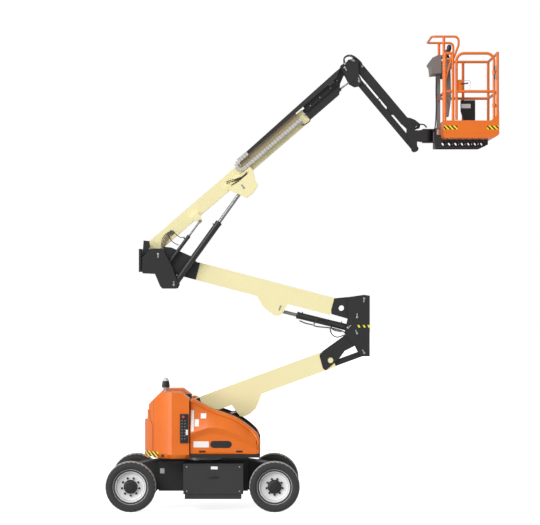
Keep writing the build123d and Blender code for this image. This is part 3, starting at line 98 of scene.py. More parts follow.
def feed(tree, node, feeds):
    """Sets inputs to values, or links them from a socket or from a node's first live output."""
    for name, value in feeds.items():
        if isinstance(value, bpy.types.Node):
            value = next(socket for socket in value.outputs if socket.enabled)
        if isinstance(value, bpy.types.NodeSocket):
            tree.links.new(value, node.inputs[name])
        else:
            node.inputs[name].default_value = value


def add(tree, kind, feeds=None, **settings):
    """Adds one shader node of a kind: settings are its properties, feeds go to its inputs."""
    node = tree.nodes.new("ShaderNode" + kind)
    for name, value in settings.items():
        setattr(node, name, value)
    feed(tree, node, feeds or {})
    return node


def blank_material(name):
    """A new material: itself, its tree, its Principled shader and its Object coordinates."""
    material = bpy.data.materials.new(name)
    material.use_nodes = True
    tree = material.node_tree
    place = add(tree, "TexCoord").outputs["Object"]
    return material, tree, tree.nodes["Principled BSDF"], place


# %% [markdown]
# Most of the machine is powder-coated steel plate. The powder melts into a skin with a
# faint orange peel of about 3 mm pitch, and its tone drifts a little from panel to panel.
# Handling leaves fine scuffs, some 50 mm apart, that show in the gloss more than in the
# colour. The same five layers serve every painted colour, so one function makes them all.
# %% Painted steel
PEEL_PITCH = 0.003
TONE_PITCH = 0.9
SCUFF_PITCH = 0.05


def painted(name, colour, shade, rough=0.38, peel=0.03, coat=0.15, speck=0.3):
    """Powder coat: base tone drifting to a shade, fine scuffs in the gloss, orange-peel bump."""
    material, tree, shader, place = blank_material(name)
    wide = {"Vector": place, "Scale": 1 / TONE_PITCH, "Detail": 3.0, "Roughness": 0.55}
    fine = {"Vector": place, "Scale": 1 / SCUFF_PITCH, "Detail": 6.0, "Roughness": 0.7}
    tone, scuff = add(tree, "TexNoise", wide), add(tree, "TexNoise", fine)
    drift = add(tree, "MapRange", {"Value": tone, "From Min": 0.35, "From Max": 0.75})
    marked = {"Value": scuff, "From Min": 0.62, "From Max": 0.78, "To Max": speck}
    mark = add(tree, "MapRange", marked)
    body = {"Factor": drift, "A": linear(colour), "B": linear(shade)}
    body = add(tree, "Mix", body, data_type="RGBA")
    worn = add(tree, "Mix", {"Factor": mark, "A": body, "B": linear(shade)}, data_type="RGBA")
    gloss = {"Value": scuff, "To Min": rough - 0.06, "To Max": rough + 0.12}
    gloss = add(tree, "MapRange", gloss)
    skin = add(tree, "TexNoise", {"Vector": place, "Scale": 1 / PEEL_PITCH, "Detail": 1.0})
    bump = add(tree, "Bump", {"Height": skin, "Strength": peel, "Distance": 0.001})
    feed(tree, shader, {"Base Color": worn, "Roughness": gloss, "Normal": bump, "IOR": 1.5})
    feed(tree, shader, {"Coat Weight": coat, "Coat Roughness": 0.2})
    return material


print("skin pitch in mm", PEEL_PITCH * 1000)

# %% [markdown]
# One row for each painted or moulded finish: a name, a colour, the shade it drifts to,
# then roughness, skin, clear coat and scuffs where they differ. Powder coat and enamel
# are glossy with a thin coat. Moulded nylon, ABS and polyethylene and vinyl sheet are
# coloured right through, with a coarser skin and little or no clear coat.
# %% Painted and moulded finishes
FINISHES = {
    "orange_paint": painted("powder_coat_orange", "#e5700f", "#da660a", 0.32, coat=0.12),
    "cream_paint": painted("powder_coat_cream", "#efe6b4", "#e9dfab", 0.42, coat=0.1),
    "black_paint": painted("powder_coat_black", "#1b1b1c", "#171718", 0.5, 0.04, 0.05),
    "box_black": painted("polyethylene_box_black", "#2b2b2b", "#262626", 0.55, 0.05, 0.0),
    "unit_grey": painted("enamel_unit_grey", "#4b4e50", "#414446", 0.5),
    "console_grey": painted("moulded_abs_grey", "#7c7673", "#716b69", 0.5, 0.05, 0.0),
    "cylinder_black": painted("enamel_cylinder_black", "#232324", "#1d1d1e", 0.35, 0.03, 0.2),
    "rim_paint": painted("enamel_rim_grey", "#e2e2e2", "#d8d8d8", 0.36, coat=0.2),
    "label_white": painted("vinyl_label_white", "#f1f1ee", "#e6e6e2", 0.35, 0.01, 0.2, 0.1),
    "track_grey": painted("nylon_track_grey", "#c3c2c0", "#b6b5b3", 0.45, 0.05, 0.0),
    "track_black": painted("nylon_track_black", "#262626", "#202020", 0.5, 0.05, 0.0),
    # Painted shade: a tan that stands for the cream boom's side in shadow behind the cable chain.
    "guard_tan": painted("enamel_guard_tan", "#a79776", "#9b8c6c", 0.5, 0.04, 0.0, 0.2),
    "black_plastic": painted("moulded_nylon_black", "#1f1f21", "#19191b", 0.45, 0.05, 0.0),
    "signal_red": painted("moulded_abs_red", "#d8432b", "#c63a24", 0.4, 0.02, 0.0),
    "amber_vinyl": painted("vinyl_tape_yellow", "#f2e52a", "#e8d81e", 0.35, 0.01, 0.1, 0.2),
}
print("painted finishes", len(FINISHES))

# %% [markdown]
# Bare metal shows in three places. Cylinder rods are hard chrome with a faint grain of
# some 20 mm in the gloss. Pins and keepers are zinc-plated, with a spangle of some 6 mm.
# The platform floor is bare aluminium tread. A metal's colour is its reflection, so the
# only layers are a noise in the gloss and a faint bump from the same noise.
# %% Metals
def metal(name, colour, rough, grain, pitch, relief=0.05):
    """Metal: one colour, a noise of the given pitch in its gloss and a faint bump from it."""
    material, tree, shader, place = blank_material(name)
    noise = add(tree, "TexNoise", {"Vector": place, "Scale": 1 / pitch, "Detail": 4.0})
    gloss = add(tree, "MapRange", {"Value": noise, "To Min": rough, "To Max": rough + grain})
    bump = add(tree, "Bump", {"Height": noise, "Strength": relief, "Distance": 0.0005})
    feed(tree, shader, {"Base Color": linear(colour), "Metallic": 1.0})
    feed(tree, shader, {"Roughness": gloss, "Normal": bump})
    return material


FINISHES["chrome_rod"] = metal("hard_chrome_rod", "#999b9d", 0.28, 0.1, 0.02, 0.01)
FINISHES["bare_steel"] = metal("zinc_plated_steel", "#a9acaf", 0.32, 0.25, 0.006)
FINISHES["floor_steel"] = metal("bare_aluminium_tread", "#b3b5b7", 0.35, 0.25, 0.01)
print("metals added, finishes now", len(FINISHES))

# %% [markdown]
# The tyres are foam-filled rubber. New rubber is charcoal, not black: the sidewall is
# smooth and dark. The tread and a ring by the bead are paler, partly dust and partly a
# painted highlight. That pale colour is a second colour that a noise of 17 mm grit breaks
# up, and the tyre's own attribute says where it lies. Hoses are the same rubber without
# the attribute, so they stay dark.
# %% Rubber
GRIT_PITCH = 1 / 60


def rubber(name, dark, pale_dust_and_highlight, rough=0.75):
    """Rubber: dark base, a paler colour where the tyre's attribute is high (dust and painted highlight), fine
    bump.
    """
    material, tree, shader, place = blank_material(name)
    dust = add(tree, "Attribute", attribute_name="dust").outputs["Fac"]
    grit = add(tree, "TexNoise", {"Vector": place, "Scale": 1 / GRIT_PITCH, "Detail": 5.0})
    share = add(tree, "Math", {0: dust, 1: grit}, operation="MULTIPLY")
    laid = add(tree, "MapRange", {"Value": share, "From Min": 0.1, "From Max": 0.6})
    body = {"Factor": laid, "A": linear(dark), "B": linear(pale_dust_and_highlight)}
    body = add(tree, "Mix", body, data_type="RGBA")
    bump = add(tree, "Bump", {"Height": grit, "Strength": 0.12, "Distance": 0.001})
    feed(tree, shader, {"Base Color": body, "Normal": bump, "Roughness": rough, "IOR": 1.52})
    return material


# The pale second colour is partly dust and partly a painted highlight on the tread.
FINISHES["tyre_rubber"] = rubber("foam_filled_rubber", "#2d2d2e", "#b9b8b4")
FINISHES["hose_rubber"] = rubber("hose_rubber_black", "#28282a", "#3a3a3a", 0.5)
FINISHES["hose_brown"] = rubber("hose_rubber_brown", "#4a3229", "#5a4035", 0.5)
print("rubbers added, finishes now", len(FINISHES))

# %% [markdown]
# The beacon's cap is moulded polycarbonate: glossy, a little see-through, and ribbed
# inside so that it scatters its lamp. A wave in height gives the ribs as a bump.
# %% Clear plastic
def clear_plastic(name, colour, rough):
    """Polycarbonate: coloured, glossy, a quarter of the light let through, ribs by a Z wave."""
    material, tree, shader, place = blank_material(name)
    ribs = {"Vector": place, "Scale": 60.0, "Distortion": 0.0}
    ribs = add(tree, "TexWave", ribs, bands_direction="Z")
    bump = add(tree, "Bump", {"Height": ribs, "Strength": 0.2, "Distance": 0.001})
    feed(tree, shader, {"Base Color": linear(colour), "Roughness": rough, "Normal": bump})
    feed(tree, shader, {"Transmission Weight": 0.25, "IOR": 1.58})
    return material


FINISHES["beacon_plastic"] = clear_plastic("polycarbonate_beacon", "#d3d5d7", 0.2)
print("finishes ready", sorted(FINISHES))

# %% [markdown]
# The CAD nodes keep their shapes. Each one names the material slot of the record that
# it is finished in, so one loop dresses them all.
# %% Dress the CAD nodes
slot_of = {row["node"]: row["material_slot"] for row in frame["record"]["subparts"]}
for node_name, node_object in frame["nodes"].items():
    node_object.data.materials.clear()
    node_object.data.materials.append(FINISHES[slot_of[node_name]])
print("CAD nodes dressed", len(slot_of))

# %% [markdown]
# The camera stands level with the middle of the machine, a long way off, with a long
# lens, so that near and far wheels almost line up. Its shift is only what centres the
# frame. The world is white where the camera or glass sees it, and a plain grey light
# elsewhere. Two soft suns from the upper left model the round forms, and a weak one
# from behind lifts the edges.
# %% Camera, world and lights
scene = bpy.context.scene
camera_data = bpy.data.cameras.new("camera")
camera_data.lens = 164.07
camera_data.sensor_width = 36.0
camera_data.shift_x = -0.00074
camera_data.shift_y = 0.0037
camera_data.clip_end = 400.0
camera = bpy.data.objects.new("camera", camera_data)
camera.location = (-0.4475, -35.175, 3.459)
camera.rotation_euler = (math.pi / 2, 0.0, 0.0)
scene.collection.objects.link(camera)
scene.camera = camera
scene.view_settings.view_transform = "Standard"


def looked_at(tree):
    """1 for rays that only look, straight or through glass, and 0 for rays that bring light."""
    rays = add(tree, "LightPath").outputs
    both = {0: rays["Is Camera Ray"], 1: rays["Is Transmission Ray"]}
    return add(tree, "Math", both, operation="MAXIMUM")


AMBIENT = 0.58
WHITE = (1.0, 1.0, 1.0, 1.0)
world = bpy.data.worlds.new("studio")
world.use_nodes = True
scene.world = world
sky = world.node_tree
sky.nodes.clear()
level = add(sky, "MapRange", {"Value": looked_at(sky), "To Min": AMBIENT, "To Max": 1.0})
glow = add(sky, "Background", {"Color": WHITE, "Strength": level})
add(sky, "OutputWorld", {"Surface": glow})

LAMPS = [
    # name, strength, angle of the soft edge, rotation in degrees about X, Y, Z
    ("key", 1.1, 18.0, (56.0, 0.0, -34.0)),
    ("side", 1.15, 15.0, (82.0, 0.0, -62.0)),
    ("rim", 0.5, 40.0, (-45.0, 0.0, 160.0)),
]
for lamp_name, strength, softness, turn in LAMPS:
    lamp_data = bpy.data.lights.new(lamp_name, "SUN")
    lamp_data.energy = strength
    lamp_data.angle = math.radians(softness)
    lamp = bpy.data.objects.new(lamp_name, lamp_data)
    lamp.rotation_euler = [math.radians(value) for value in turn]
    scene.collection.objects.link(lamp)
print("lamps", [row[0] for row in LAMPS])

# %% [markdown]
# The floor is a wide pale disc. It shows white to the camera except in the machine's
# shadow, because a little of its own light is added for the rays that only look at it.
# %% Floor
FLOOR_RADIUS = 90.0
FLOOR_GLOW = 0.88
FLOOR_GREY = 0.6
ring = np.linspace(0, 2 * math.pi, 97)[:-1]
floor_points = np.column_stack([np.cos(ring), np.sin(ring), 0 * ring]) * FLOOR_RADIUS
floor_mesh = bpy.data.meshes.new("floor")
floor_mesh.from_pydata(floor_points.tolist(), [], [list(range(len(ring)))])
floor = bpy.data.objects.new("floor", floor_mesh)
scene.collection.objects.link(floor)
floor_material, floor_tree, floor_shader, place = blank_material("studio_floor")
own_light = {0: looked_at(floor_tree), 1: FLOOR_GLOW}
own_light = add(floor_tree, "Math", own_light, operation="MULTIPLY")
grain = add(floor_tree, "TexNoise", {"Vector": place, "Scale": 0.5})
floor_rough = add(floor_tree, "MapRange", {"Value": grain, "To Min": 0.8, "To Max": 0.95})
floor_colour = (FLOOR_GREY, FLOOR_GREY, FLOOR_GREY, 1.0)
feed(floor_tree, floor_shader, {"Base Color": floor_colour, "Roughness": floor_rough})
feed(floor_tree, floor_shader, {"Emission Color": WHITE, "Emission Strength": own_light})
floor_mesh.materials.append(floor_material)
print("floor", FLOOR_RADIUS, "m")

# %% [markdown]
# New pieces are surfaces on a grid. A grid of points becomes quads by arithmetic on the
# row and column numbers, so there is no loop over vertices. A piece is often several
# such surfaces in one mesh: they are stacked, with the face numbers shifted.
# %% Grids and pieces
SMOOTH_BELOW = math.radians(35)


def grid_quads(rows, columns, wrap_rows=False, wrap_columns=False):
    """Quads between neighbours of a rows by columns grid, closing round where asked."""
    row = np.arange(rows if wrap_rows else rows - 1)[:, None]
    column = np.arange(columns if wrap_columns else columns - 1)[None, :]
    here, below = row * columns, (row + 1) % rows * columns
    beside = (column + 1) % columns
    corners = [here + column, here + beside, below + beside, below + column]
    return np.stack(corners, axis=-1).reshape(-1, 4)


def stack(parts):
    """Joins (points, faces) parts into one list of points and one of faces."""
    faces = []
    start = 0
    for part_points, part_faces in parts:
        faces += [[int(index) + start for index in face] for face in part_faces]
        start += len(part_points)
    return np.vstack([part[0] for part in parts]), faces


def piece(name, parts, finish, body, smooth=True, bevel=0.0, replace=()):
    """Makes one object from parts, finished in a slot's material and riding on a body."""
    points, faces = stack(parts)
    mesh = bpy.data.meshes.new(name)
    mesh.from_pydata(points.tolist(), [], faces)
    mesh.materials.append(FINISHES[finish])
    thing = bpy.data.objects.new(name, mesh)
    scene.collection.objects.link(thing)
    if smooth:
        mesh.polygons.foreach_set("use_smooth", np.ones(len(mesh.polygons), bool))
        mesh.set_sharp_from_angle(angle=SMOOTH_BELOW)
    if bevel:
        edge = thing.modifiers.new("soft_edge", "BEVEL")
        edge.width = bevel
        edge.segments = 2
        edge.limit_method = "ANGLE"
    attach(thing, body)
    if replace:
        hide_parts(*replace)
    return thing


print("grid of 2 by 3 points, quads", grid_quads(2, 3).tolist())

# %% [markdown]
# Most round pieces are lathe work: rims, nuts, bolt heads, glands and buttons. A profile
# of (radius, height) rows is turned round an axis, and a cap closes each end. A ring
# that lies on another piece needs no caps.
# %% Lathe work
def unit(vectors):
    """Vectors divided by their lengths."""
    vectors = np.asarray(vectors, float)
    return vectors / np.linalg.norm(vectors, axis=-1, keepdims=True)


def across(axis):
    """Two unit vectors square to an axis and to each other, right-handed with it."""
    helper = np.array([0.0, 0.0, 1.0]) if abs(axis[2]) < 0.9 else np.array([1.0, 0.0, 0.0])
    first = unit(np.cross(helper, axis))
    return first, np.cross(axis, first)


def capped(rows, count):
    """Quads round a barrel of rows by count points, then a cap on its start and its end."""
    faces = grid_quads(rows, count, wrap_columns=True).tolist()
    faces.append(list(range(count))[::-1])
    faces.append(list(range((rows - 1) * count, rows * count)))
    return faces


def turned(profile, centre, axis, count=24, caps=True):
    """Lathe work: each (radius, height) of a profile goes round the axis."""
    profile = np.asarray(profile, float)
    axis = unit(axis)
    first, second = across(axis)
    turn = np.arange(count) * 2 * math.pi / count
    rim = np.cos(turn)[:, None] * first + np.sin(turn)[:, None] * second
    points = profile[:, None, :1] * rim[None] + profile[:, None, 1:] * axis
    faces = capped(len(profile), count)
    return points.reshape(-1, 3) + centre, faces if caps else faces[:-2]


print("faces of a capped ring of six", len(capped(2, 6)))

# %% [markdown]
# Plate work is an outline with a thickness. Most plates of this machine stand along it,
# so that their outlines are in X and Z, and a label is only a very thin plate.
# %% Plates
def slab(outline, thick, origin, along, up):
    """A flat plate: an outline in the along-up plane, carried half its thickness each way."""
    outline = np.asarray(outline, float)
    along, up = unit(along), unit(up)
    out = np.cross(along, up) * thick / 2
    face = outline[:, :1] * along + outline[:, 1:] * up + origin
    count = len(outline)
    index = np.arange(count)
    after = (index + 1) % count
    faces = np.column_stack([index, after, after + count, index + count]).tolist()
    faces += [index[::-1].tolist(), (index + count).tolist()]
    follow = np.roll(outline, -1, axis=0)
    area = np.sum(outline[:, 0] * follow[:, 1] - outline[:, 1] * follow[:, 0])
    if area < 0:
        faces = [face[::-1] for face in faces]
    return np.vstack([face - out, face + out]), faces


def side_plate(outline, thick, at, side=NEAR):
    """A plate along the machine, its outline in X and Z as someone on that side sees it."""
    return slab(outline, thick, at, (-side, 0, 0), UP)


def brick(low, high):
    """A box between two corners, as a plate of its XZ outline."""
    low, high = np.minimum(low, high), np.maximum(low, high)
    outline = [(low[0], low[2]), (high[0], low[2]), (high[0], high[2]), (low[0], high[2])]
    return side_plate(outline, high[1] - low[1], (0.0, (low[1] + high[1]) / 2, 0.0))


def rounded(width, height, radius, count=6):
    """Outline of a rectangle with round corners: four quarter circles."""
    turn = np.linspace(0, math.pi / 2, count)
    corners = []
    for quarter, (x, y) in enumerate(((1, 1), (-1, 1), (-1, -1), (1, -1))):
        swing = turn + quarter * math.pi / 2
        middle = [x * (width / 2 - radius), y * (height / 2 - radius)]
        corners.append(middle + radius * np.column_stack([np.cos(swing), np.sin(swing)]))
    return np.vstack(corners)


print("points on a rounded outline", len(rounded(0.1, 0.05, 0.01)))

# %% [markdown]
# A tyre is one closed section turned about the axle. The section goes up the outer
# sidewall, over the tread and down the inner one. The tread's lugs are cut by lowering
# the radius where a wave round the tyre, slanted across it, falls below zero.
# %% Tyres
WHEELS = ["front_left", "front_right", "rear_left", "rear_right"]
TYRE_STEPS = 264
LUG_COUNT = 33
LUG_SLANT = 9.0
GROOVE = 0.009
# Each row: radius and distance from the tyre's middle, as shares of radius and half width.
TYRE_SECTION = np.array(
    [
        (0.63, 0.0), (0.632, 0.78), (0.668, 0.8), (0.688, 0.81), (0.7, 0.87),
        (0.745, 0.955), (0.765, 0.96), (0.772, 0.985), (0.8, 1.0), (0.86, 1.0),
        (0.9, 0.985), (0.912, 0.972), (0.925, 0.98), (0.948, 0.975), (0.966, 0.95),
        (0.982, 0.905), (0.991, 0.84), (0.996, 0.7), (0.998, 0.56),
        (1.0, 0.42), (1.0, 0.28), (1.0, 0.14), (1.0, 0.0),
    ]
)


def tyre_surface(centre, radius, half_width):
    """Section rows by steps round the axle. Lug wave: sine of (lugs times angle plus slant)."""
    section = np.vstack([TYRE_SECTION, TYRE_SECTION[1:-1][::-1] * [1, -1]])
    level, wide = section[:, :1], section[:, 1:]
    turn = np.arange(TYRE_STEPS)[None, :] * 2 * math.pi / TYRE_STEPS
    wave = np.sin(LUG_COUNT * turn + LUG_SLANT * np.abs(wide) + (wide < 0) * math.pi)
    in_tread = np.clip((level - 0.94) / 0.03, 0, 1)
    off_centre = np.clip((np.abs(wide) - 0.1) / 0.2, 0, 1)
    cut = GROOVE * in_tread * off_centre * np.clip(0.5 - 2.5 * wave, 0, 1)
    reach = level * radius - cut
    x, y, z = reach * np.cos(turn), wide * half_width + 0 * turn, reach * np.sin(turn)
    points = np.stack([x, y, z], axis=-1) + centre
    # The tread and a ring by the bead are paler: partly dust, partly a painted highlight.
    edge = np.clip((level - 0.955) / 0.03, 0, 1)
    bead = np.exp(-(((level - 0.7) / 0.012) ** 2))
    dust = np.clip(edge + 0.35 * bead - cut / GROOVE * 0.8, 0, 1) + 0 * turn
    faces = grid_quads(len(section), TYRE_STEPS, True, True)[:, ::-1]
    return (points.reshape(-1, 3), faces.tolist()), dust.reshape(-1)


tyre_low, tyre_high = box_of("tyre_front_left")
TYRE_R = (tyre_high[2] - tyre_low[2]) / 2
TYRE_HALF = (tyre_high[1] - tyre_low[1]) / 2
for name in WHEELS:
    surface, dust = tyre_surface(pin[f"wheel_{name}_spin"], TYRE_R, TYRE_HALF)
    body = f"wheel_{name}"
    replaced = [f"tyre_{name}"]
    tyre = piece(f"tyre_tread_{name}", [surface], "tyre_rubber", body, replace=replaced)
    marks = tyre.data.attributes.new("dust", "FLOAT", "POINT")
    marks.data.foreach_set("value", dust)
print("tyre radius", round(TYRE_R, 3), "half width", round(TYRE_HALF, 3))

# %% [markdown]
# A rim is pressed steel: a flange at the edge, a step down to the seat, a weld bead
# where the disc meets the rim, and a flat disc that the nuts clamp. The steered wheels
# turn on a long hub with a domed cap, the driven ones on a flatter motor housing.
# %% Wheel profiles
RIM_R = 0.243
RIM_HALF = 0.094
DISC_OUT = 0.034
HUB_R = 0.097
HUB_BOLT_CIRCLE = 0.056
NUT_COUNT = 9
VALVE_CIRCLE = 0.205
VALVE_ANGLE = math.radians(152)
# Steered or not: how far the hub stands out, and the radius of the nut circle.
HUBS = {True: (0.096, 0.123), False: (0.072, 0.113)}
# Rows of (radius, way out) go from the hub, over the outside, to the inner flange.
RIM_PROFILE = [
    (0.06, DISC_OUT), (0.105, DISC_OUT), (0.165, DISC_OUT + 0.001),
    (0.175, DISC_OUT + 0.006), (0.1895, DISC_OUT + 0.009), (0.1925, DISC_OUT + 0.013),
    (0.195, DISC_OUT + 0.009), (0.1975, RIM_HALF - 0.04), (0.203, RIM_HALF - 0.022),
    (0.208, RIM_HALF - 0.013), (0.2155, RIM_HALF - 0.011), (0.2175, RIM_HALF - 0.017),
    (0.2195, RIM_HALF - 0.009), (RIM_R - 0.016, RIM_HALF - 0.006),
    (RIM_R - 0.01, RIM_HALF + 0.001), (RIM_R - 0.002, RIM_HALF), (RIM_R, RIM_HALF - 0.004),
    (RIM_R - 0.002, RIM_HALF - 0.011), (0.2225, RIM_HALF - 0.012),
    (0.2225, 0.012 - RIM_HALF), (RIM_R - 0.002, 0.011 - RIM_HALF), (RIM_R, 0.004 - RIM_HALF),
    (RIM_R - 0.004, -RIM_HALF - 0.001), (0.208, -RIM_HALF), (0.208, 0.02), (0.06, 0.02),
]
FLANGE = [(0.241, -0.004), (0.241, 0.004), (0.262, 0.006), (0.266, 0.004), (0.266, -0.004)]
NUT = [(0.017, 0.0), (0.017, 0.003), (0.0135, 0.003), (0.0135, 0.016)]
NUT += [(0.008, 0.018), (0.008, 0.026), (0.005, 0.028)]
HUB_BOLT = [(0.006, -0.002), (0.006, 0.004), (0.004, 0.006)]
VALVE = [(0.008, 0.0), (0.008, 0.008), (0.005, 0.012), (0.005, 0.022), (0.003, 0.024)]
print("rim profile rows", len(RIM_PROFILE))

# %% [markdown]
# The profiles are turned about each axle. Bolts and nuts go round it on their circles,
# the first nut at the bottom. Two dark grey rings at the bead seat and at the weld are
# painted shade in the grooves there, and the flange is a bright ring that the tyre's bead lies against.
# %% Rims, nuts and hubs
def around(centre, radius, angle):
    """The point at an angle on a circle round an axle, in the XZ plane."""
    return centre + np.array([math.cos(angle), 0, math.sin(angle)]) * radius


for name in WHEELS:
    body = f"wheel_{name}"
    centre = pin[f"wheel_{name}_spin"]
    outward = np.array([0.0, NEAR if name.endswith("left") else FAR, 0.0])
    out, circle = HUBS[name.startswith("front")]
    rim = [turned(RIM_PROFILE, centre, outward, 96)]
    piece(f"pressed_rim_{name}", rim, "rim_paint", body, replace=[f"rim_{name}"])
    hub = [
        (HUB_R, DISC_OUT - 0.004), (HUB_R, DISC_OUT + 0.02), (HUB_R - 0.006, DISC_OUT + 0.026),
        (HUB_R - 0.012, out - 0.012), (HUB_R - 0.018, out - 0.004), (HUB_R - 0.03, out),
        (0.046, out), (0.043, out + 0.004), (0.03, out + 0.006), (0.001, out + 0.006),
    ]
    hub_parts = [turned(hub, centre, outward, 48)]
    for angle in np.arange(6) * math.pi / 3 + 0.3:
        seat = around(centre, HUB_BOLT_CIRCLE, angle) + outward * out
        hub_parts.append(turned(HUB_BOLT, seat, outward, 6))
    piece(f"hub_{name}", hub_parts, "black_paint", body)
    nuts = []
    for angle in -math.pi / 2 + np.arange(NUT_COUNT) * 2 * math.pi / NUT_COUNT:
        seat = around(centre, circle, angle) + outward * DISC_OUT
        nuts.append(turned(NUT, seat, outward, 6))
    piece(f"wheel_nuts_{name}", nuts, "black_paint", body, smooth=False)
    # Painted shade: two dark grey rings stand for the shadow in the grooves at the bead seat and at the weld.
    shade_rings = []
    for reach, deep in ((0.2205, RIM_HALF - 0.008), (0.1945, DISC_OUT + 0.01)):
        inner, outer = reach - 0.003, reach + 0.003
        band = [(inner, -0.002), (inner, 0.0012), (outer, 0.0012), (outer, -0.002)]
        shade_rings.append(turned(band, centre + outward * deep, outward, 96, caps=False))
    piece(f"rim_shade_rings_{name}", shade_rings, "unit_grey", body)
    flange = [turned(FLANGE, centre + outward * RIM_HALF, outward, 128, caps=False)]
    piece(f"rim_flange_{name}", flange, "rim_paint", body)
    seat = around(centre, VALVE_CIRCLE, VALVE_ANGLE) + outward * (RIM_HALF - 0.026)
    piece(f"valve_{name}", [turned(VALVE, seat, outward, 12)], "black_plastic", body)
print("rims dressed, nuts each", NUT_COUNT)

# %% [markdown]
# The hoses and cables lie in a chain of nylon links beside the boom, so that they can
# follow the telescope. Each link is a pair of side bars joined by cross bars. The chain
# lies still on the boom, rolls back on itself and ends in a steel channel that goes with
# the fly section. A tan sheet between chain and channel is painted shade: it stands for
# the boom's cream side in shadow there.
# %% Cable track links
track_low, track_high = box_of("cable_track_base")
TRACK_NEAR, TRACK_FAR = track_low[1], track_high[1]
# Distances along the boom and heights above its line, of the chain's middle.
BEND_AT = 1.715
LOWER_RUN_END = 2.8
LOWER_LEVEL = 0.126
UPPER_LEVEL = 0.258
LINK_PITCH = 0.046
LINK_HALF = 0.026
OPEN_HALF = 0.031
BAR_THICK = 0.008
# A side bar's outline, as shares of the pitch and of half the link's height.
LINK_OUTLINE = np.array([(-0.46, -0.6), (-0.38, -1), (0.38, -1), (0.46, -0.6)])
LINK_OUTLINE = np.vstack([LINK_OUTLINE, -LINK_OUTLINE])
RUNG_OUTLINE = np.array([(-0.15, -0.05), (0.15, -0.05), (0.15, 0.05), (-0.15, 0.05)])


def boom_slab(outline, low, high):
    """A plate beside the boom: an (along, above) outline between two Y planes."""
    points, faces = side_plate(outline, high - low, (0, (low + high) / 2, 0))
    return on_boom(points), faces


def links(path, half_height):
    """One link between each two points of a path in the boom's frame: two bars and two rungs."""
    middle_y = (TRACK_NEAR + TRACK_FAR) / 2
    bar_y = (TRACK_NEAR + BAR_THICK / 2, TRACK_FAR - BAR_THICK / 2)
    parts = []
    for start, end in zip(path[:-1], path[1:]):
        pitch = np.linalg.norm(end - start)
        along = (end - start) / pitch
        up = np.array([-along[2], 0.0, along[0]])
        middle = (start + end) / 2
        bar = LINK_OUTLINE * [pitch, half_height]
        rung = RUNG_OUTLINE * [pitch, half_height * 2]
        plates = [(bar, BAR_THICK, middle + [0, y, 0]) for y in bar_y]
        for edge in (-0.8, 0.8):
            at = middle + up * half_height * edge + [0, middle_y, 0]
            plates.append((rung, TRACK_FAR - TRACK_NEAR - 0.01, at))
        for outline, thick, at in plates:
            points, faces = slab(outline, thick, at, along, up)
            parts.append((on_boom(points), faces))
    return parts


print("corners of a link's bar", len(LINK_OUTLINE))

# %% [markdown]
# The chain's middle line runs down the boom and then round half a circle. Those links
# ride on the boom. The four open links above the bend ride on the fly section, because
# they are the end that goes out with it.
# %% Lay the chain
low_count = int((LOWER_RUN_END - BEND_AT) / LINK_PITCH)
low_line = np.linspace(LOWER_RUN_END, BEND_AT, low_count + 1)
lower_path = np.column_stack([low_line, 0 * low_line, 0 * low_line + LOWER_LEVEL])
bend_r = (UPPER_LEVEL - LOWER_LEVEL) / 2
swing = np.linspace(-math.pi / 2, -3 * math.pi / 2, 7)[1:]
bend_z = LOWER_LEVEL + bend_r + np.sin(swing) * bend_r
bend_path = np.column_stack([BEND_AT + np.cos(swing) * bend_r, 0 * swing, bend_z])
chain = links(np.vstack([lower_path, bend_path]), LINK_HALF)
ON_BOOM = {"body": "main_boom", "smooth": False}
ON_FLY = {"body": "fly_boom", "smooth": False}
chain_looks = {"bevel": 0.0015, "replace": ["cable_track_base"]}
piece("cable_track_lower_links", chain, "track_grey", **ON_BOOM, **chain_looks)
# A tan sheet of painted shade lies behind the chain, from the bend to near its end:
# it stands for the boom's cream side in shadow.
SHEET_FOOT, SHEET_TOP = 0.104, 0.246
sheet_left, sheet_right = BEND_AT + 0.01, 2.79
shade_sheet_outline = [(sheet_left, SHEET_FOOT), (sheet_right, SHEET_FOOT)]
shade_sheet_outline += [(sheet_right, SHEET_TOP), (sheet_left, SHEET_TOP)]
shade_sheet = [boom_slab(shade_sheet_outline, -0.112, -0.108)]
piece("cable_guard_sheet", shade_sheet, "guard_tan", **ON_BOOM, bevel=0.001)
# The chain lies open for four links before it goes into the channel.
open_parts = []
open_line = np.linspace(BEND_AT + 0.002, BEND_AT + 0.186, 5)
for start, end in zip(open_line[:-1], open_line[1:]):
    at = [(start + end) / 2, UPPER_LEVEL + 0.006]
    outline = LINK_OUTLINE * [end - start, OPEN_HALF] + at
    open_parts.append(boom_slab(outline, TRACK_NEAR - 0.005, TRACK_NEAR - 0.0005))
piece("cable_track_open_links", open_parts, "track_grey", **ON_FLY, bevel=0.001)
print("links", len(chain) // 4 + len(open_parts))

# %% [markdown]
# Around the chain there is plate work. The lobe under the boom is a pair of cheeks on
# two spacers, and the outer one covers the rod's eye. Clips of folded strip hold the
# chain to the boom, and a folded plate joins its channel to the fly's head.
# %% Plates beside the boom
SMALL_BOLT = [(0.01, 0.0), (0.01, 0.006), (0.006, 0.008)]
cheek = [(1.352, 0.03), (1.475, -0.215), (1.585, -0.222), (1.713, -0.19)]
cheek += [(1.73, -0.109), (1.796, 0.03)]
lobe_parts = [boom_slab(cheek, -0.262, -0.251)]
for seat in on_boom([(1.7, -0.252, -0.14), (1.75, -0.252, -0.01)]):
    lobe_parts.append(turned([(0.018, 0.0), (0.018, 0.108)], seat, (0, 1, 0), 20))
piece("boom_lobe_cheek", lobe_parts, "cream_paint", **ON_BOOM, bevel=0.002)
CLIP_FOOT, CLIP_WIDE = 0.097, 0.03
clip_shelf = (0.1015, TRACK_NEAR - 0.004, -0.08)
clip_lip = (0.112, TRACK_NEAR - 0.006, TRACK_NEAR - 0.002)
clip_parts = []
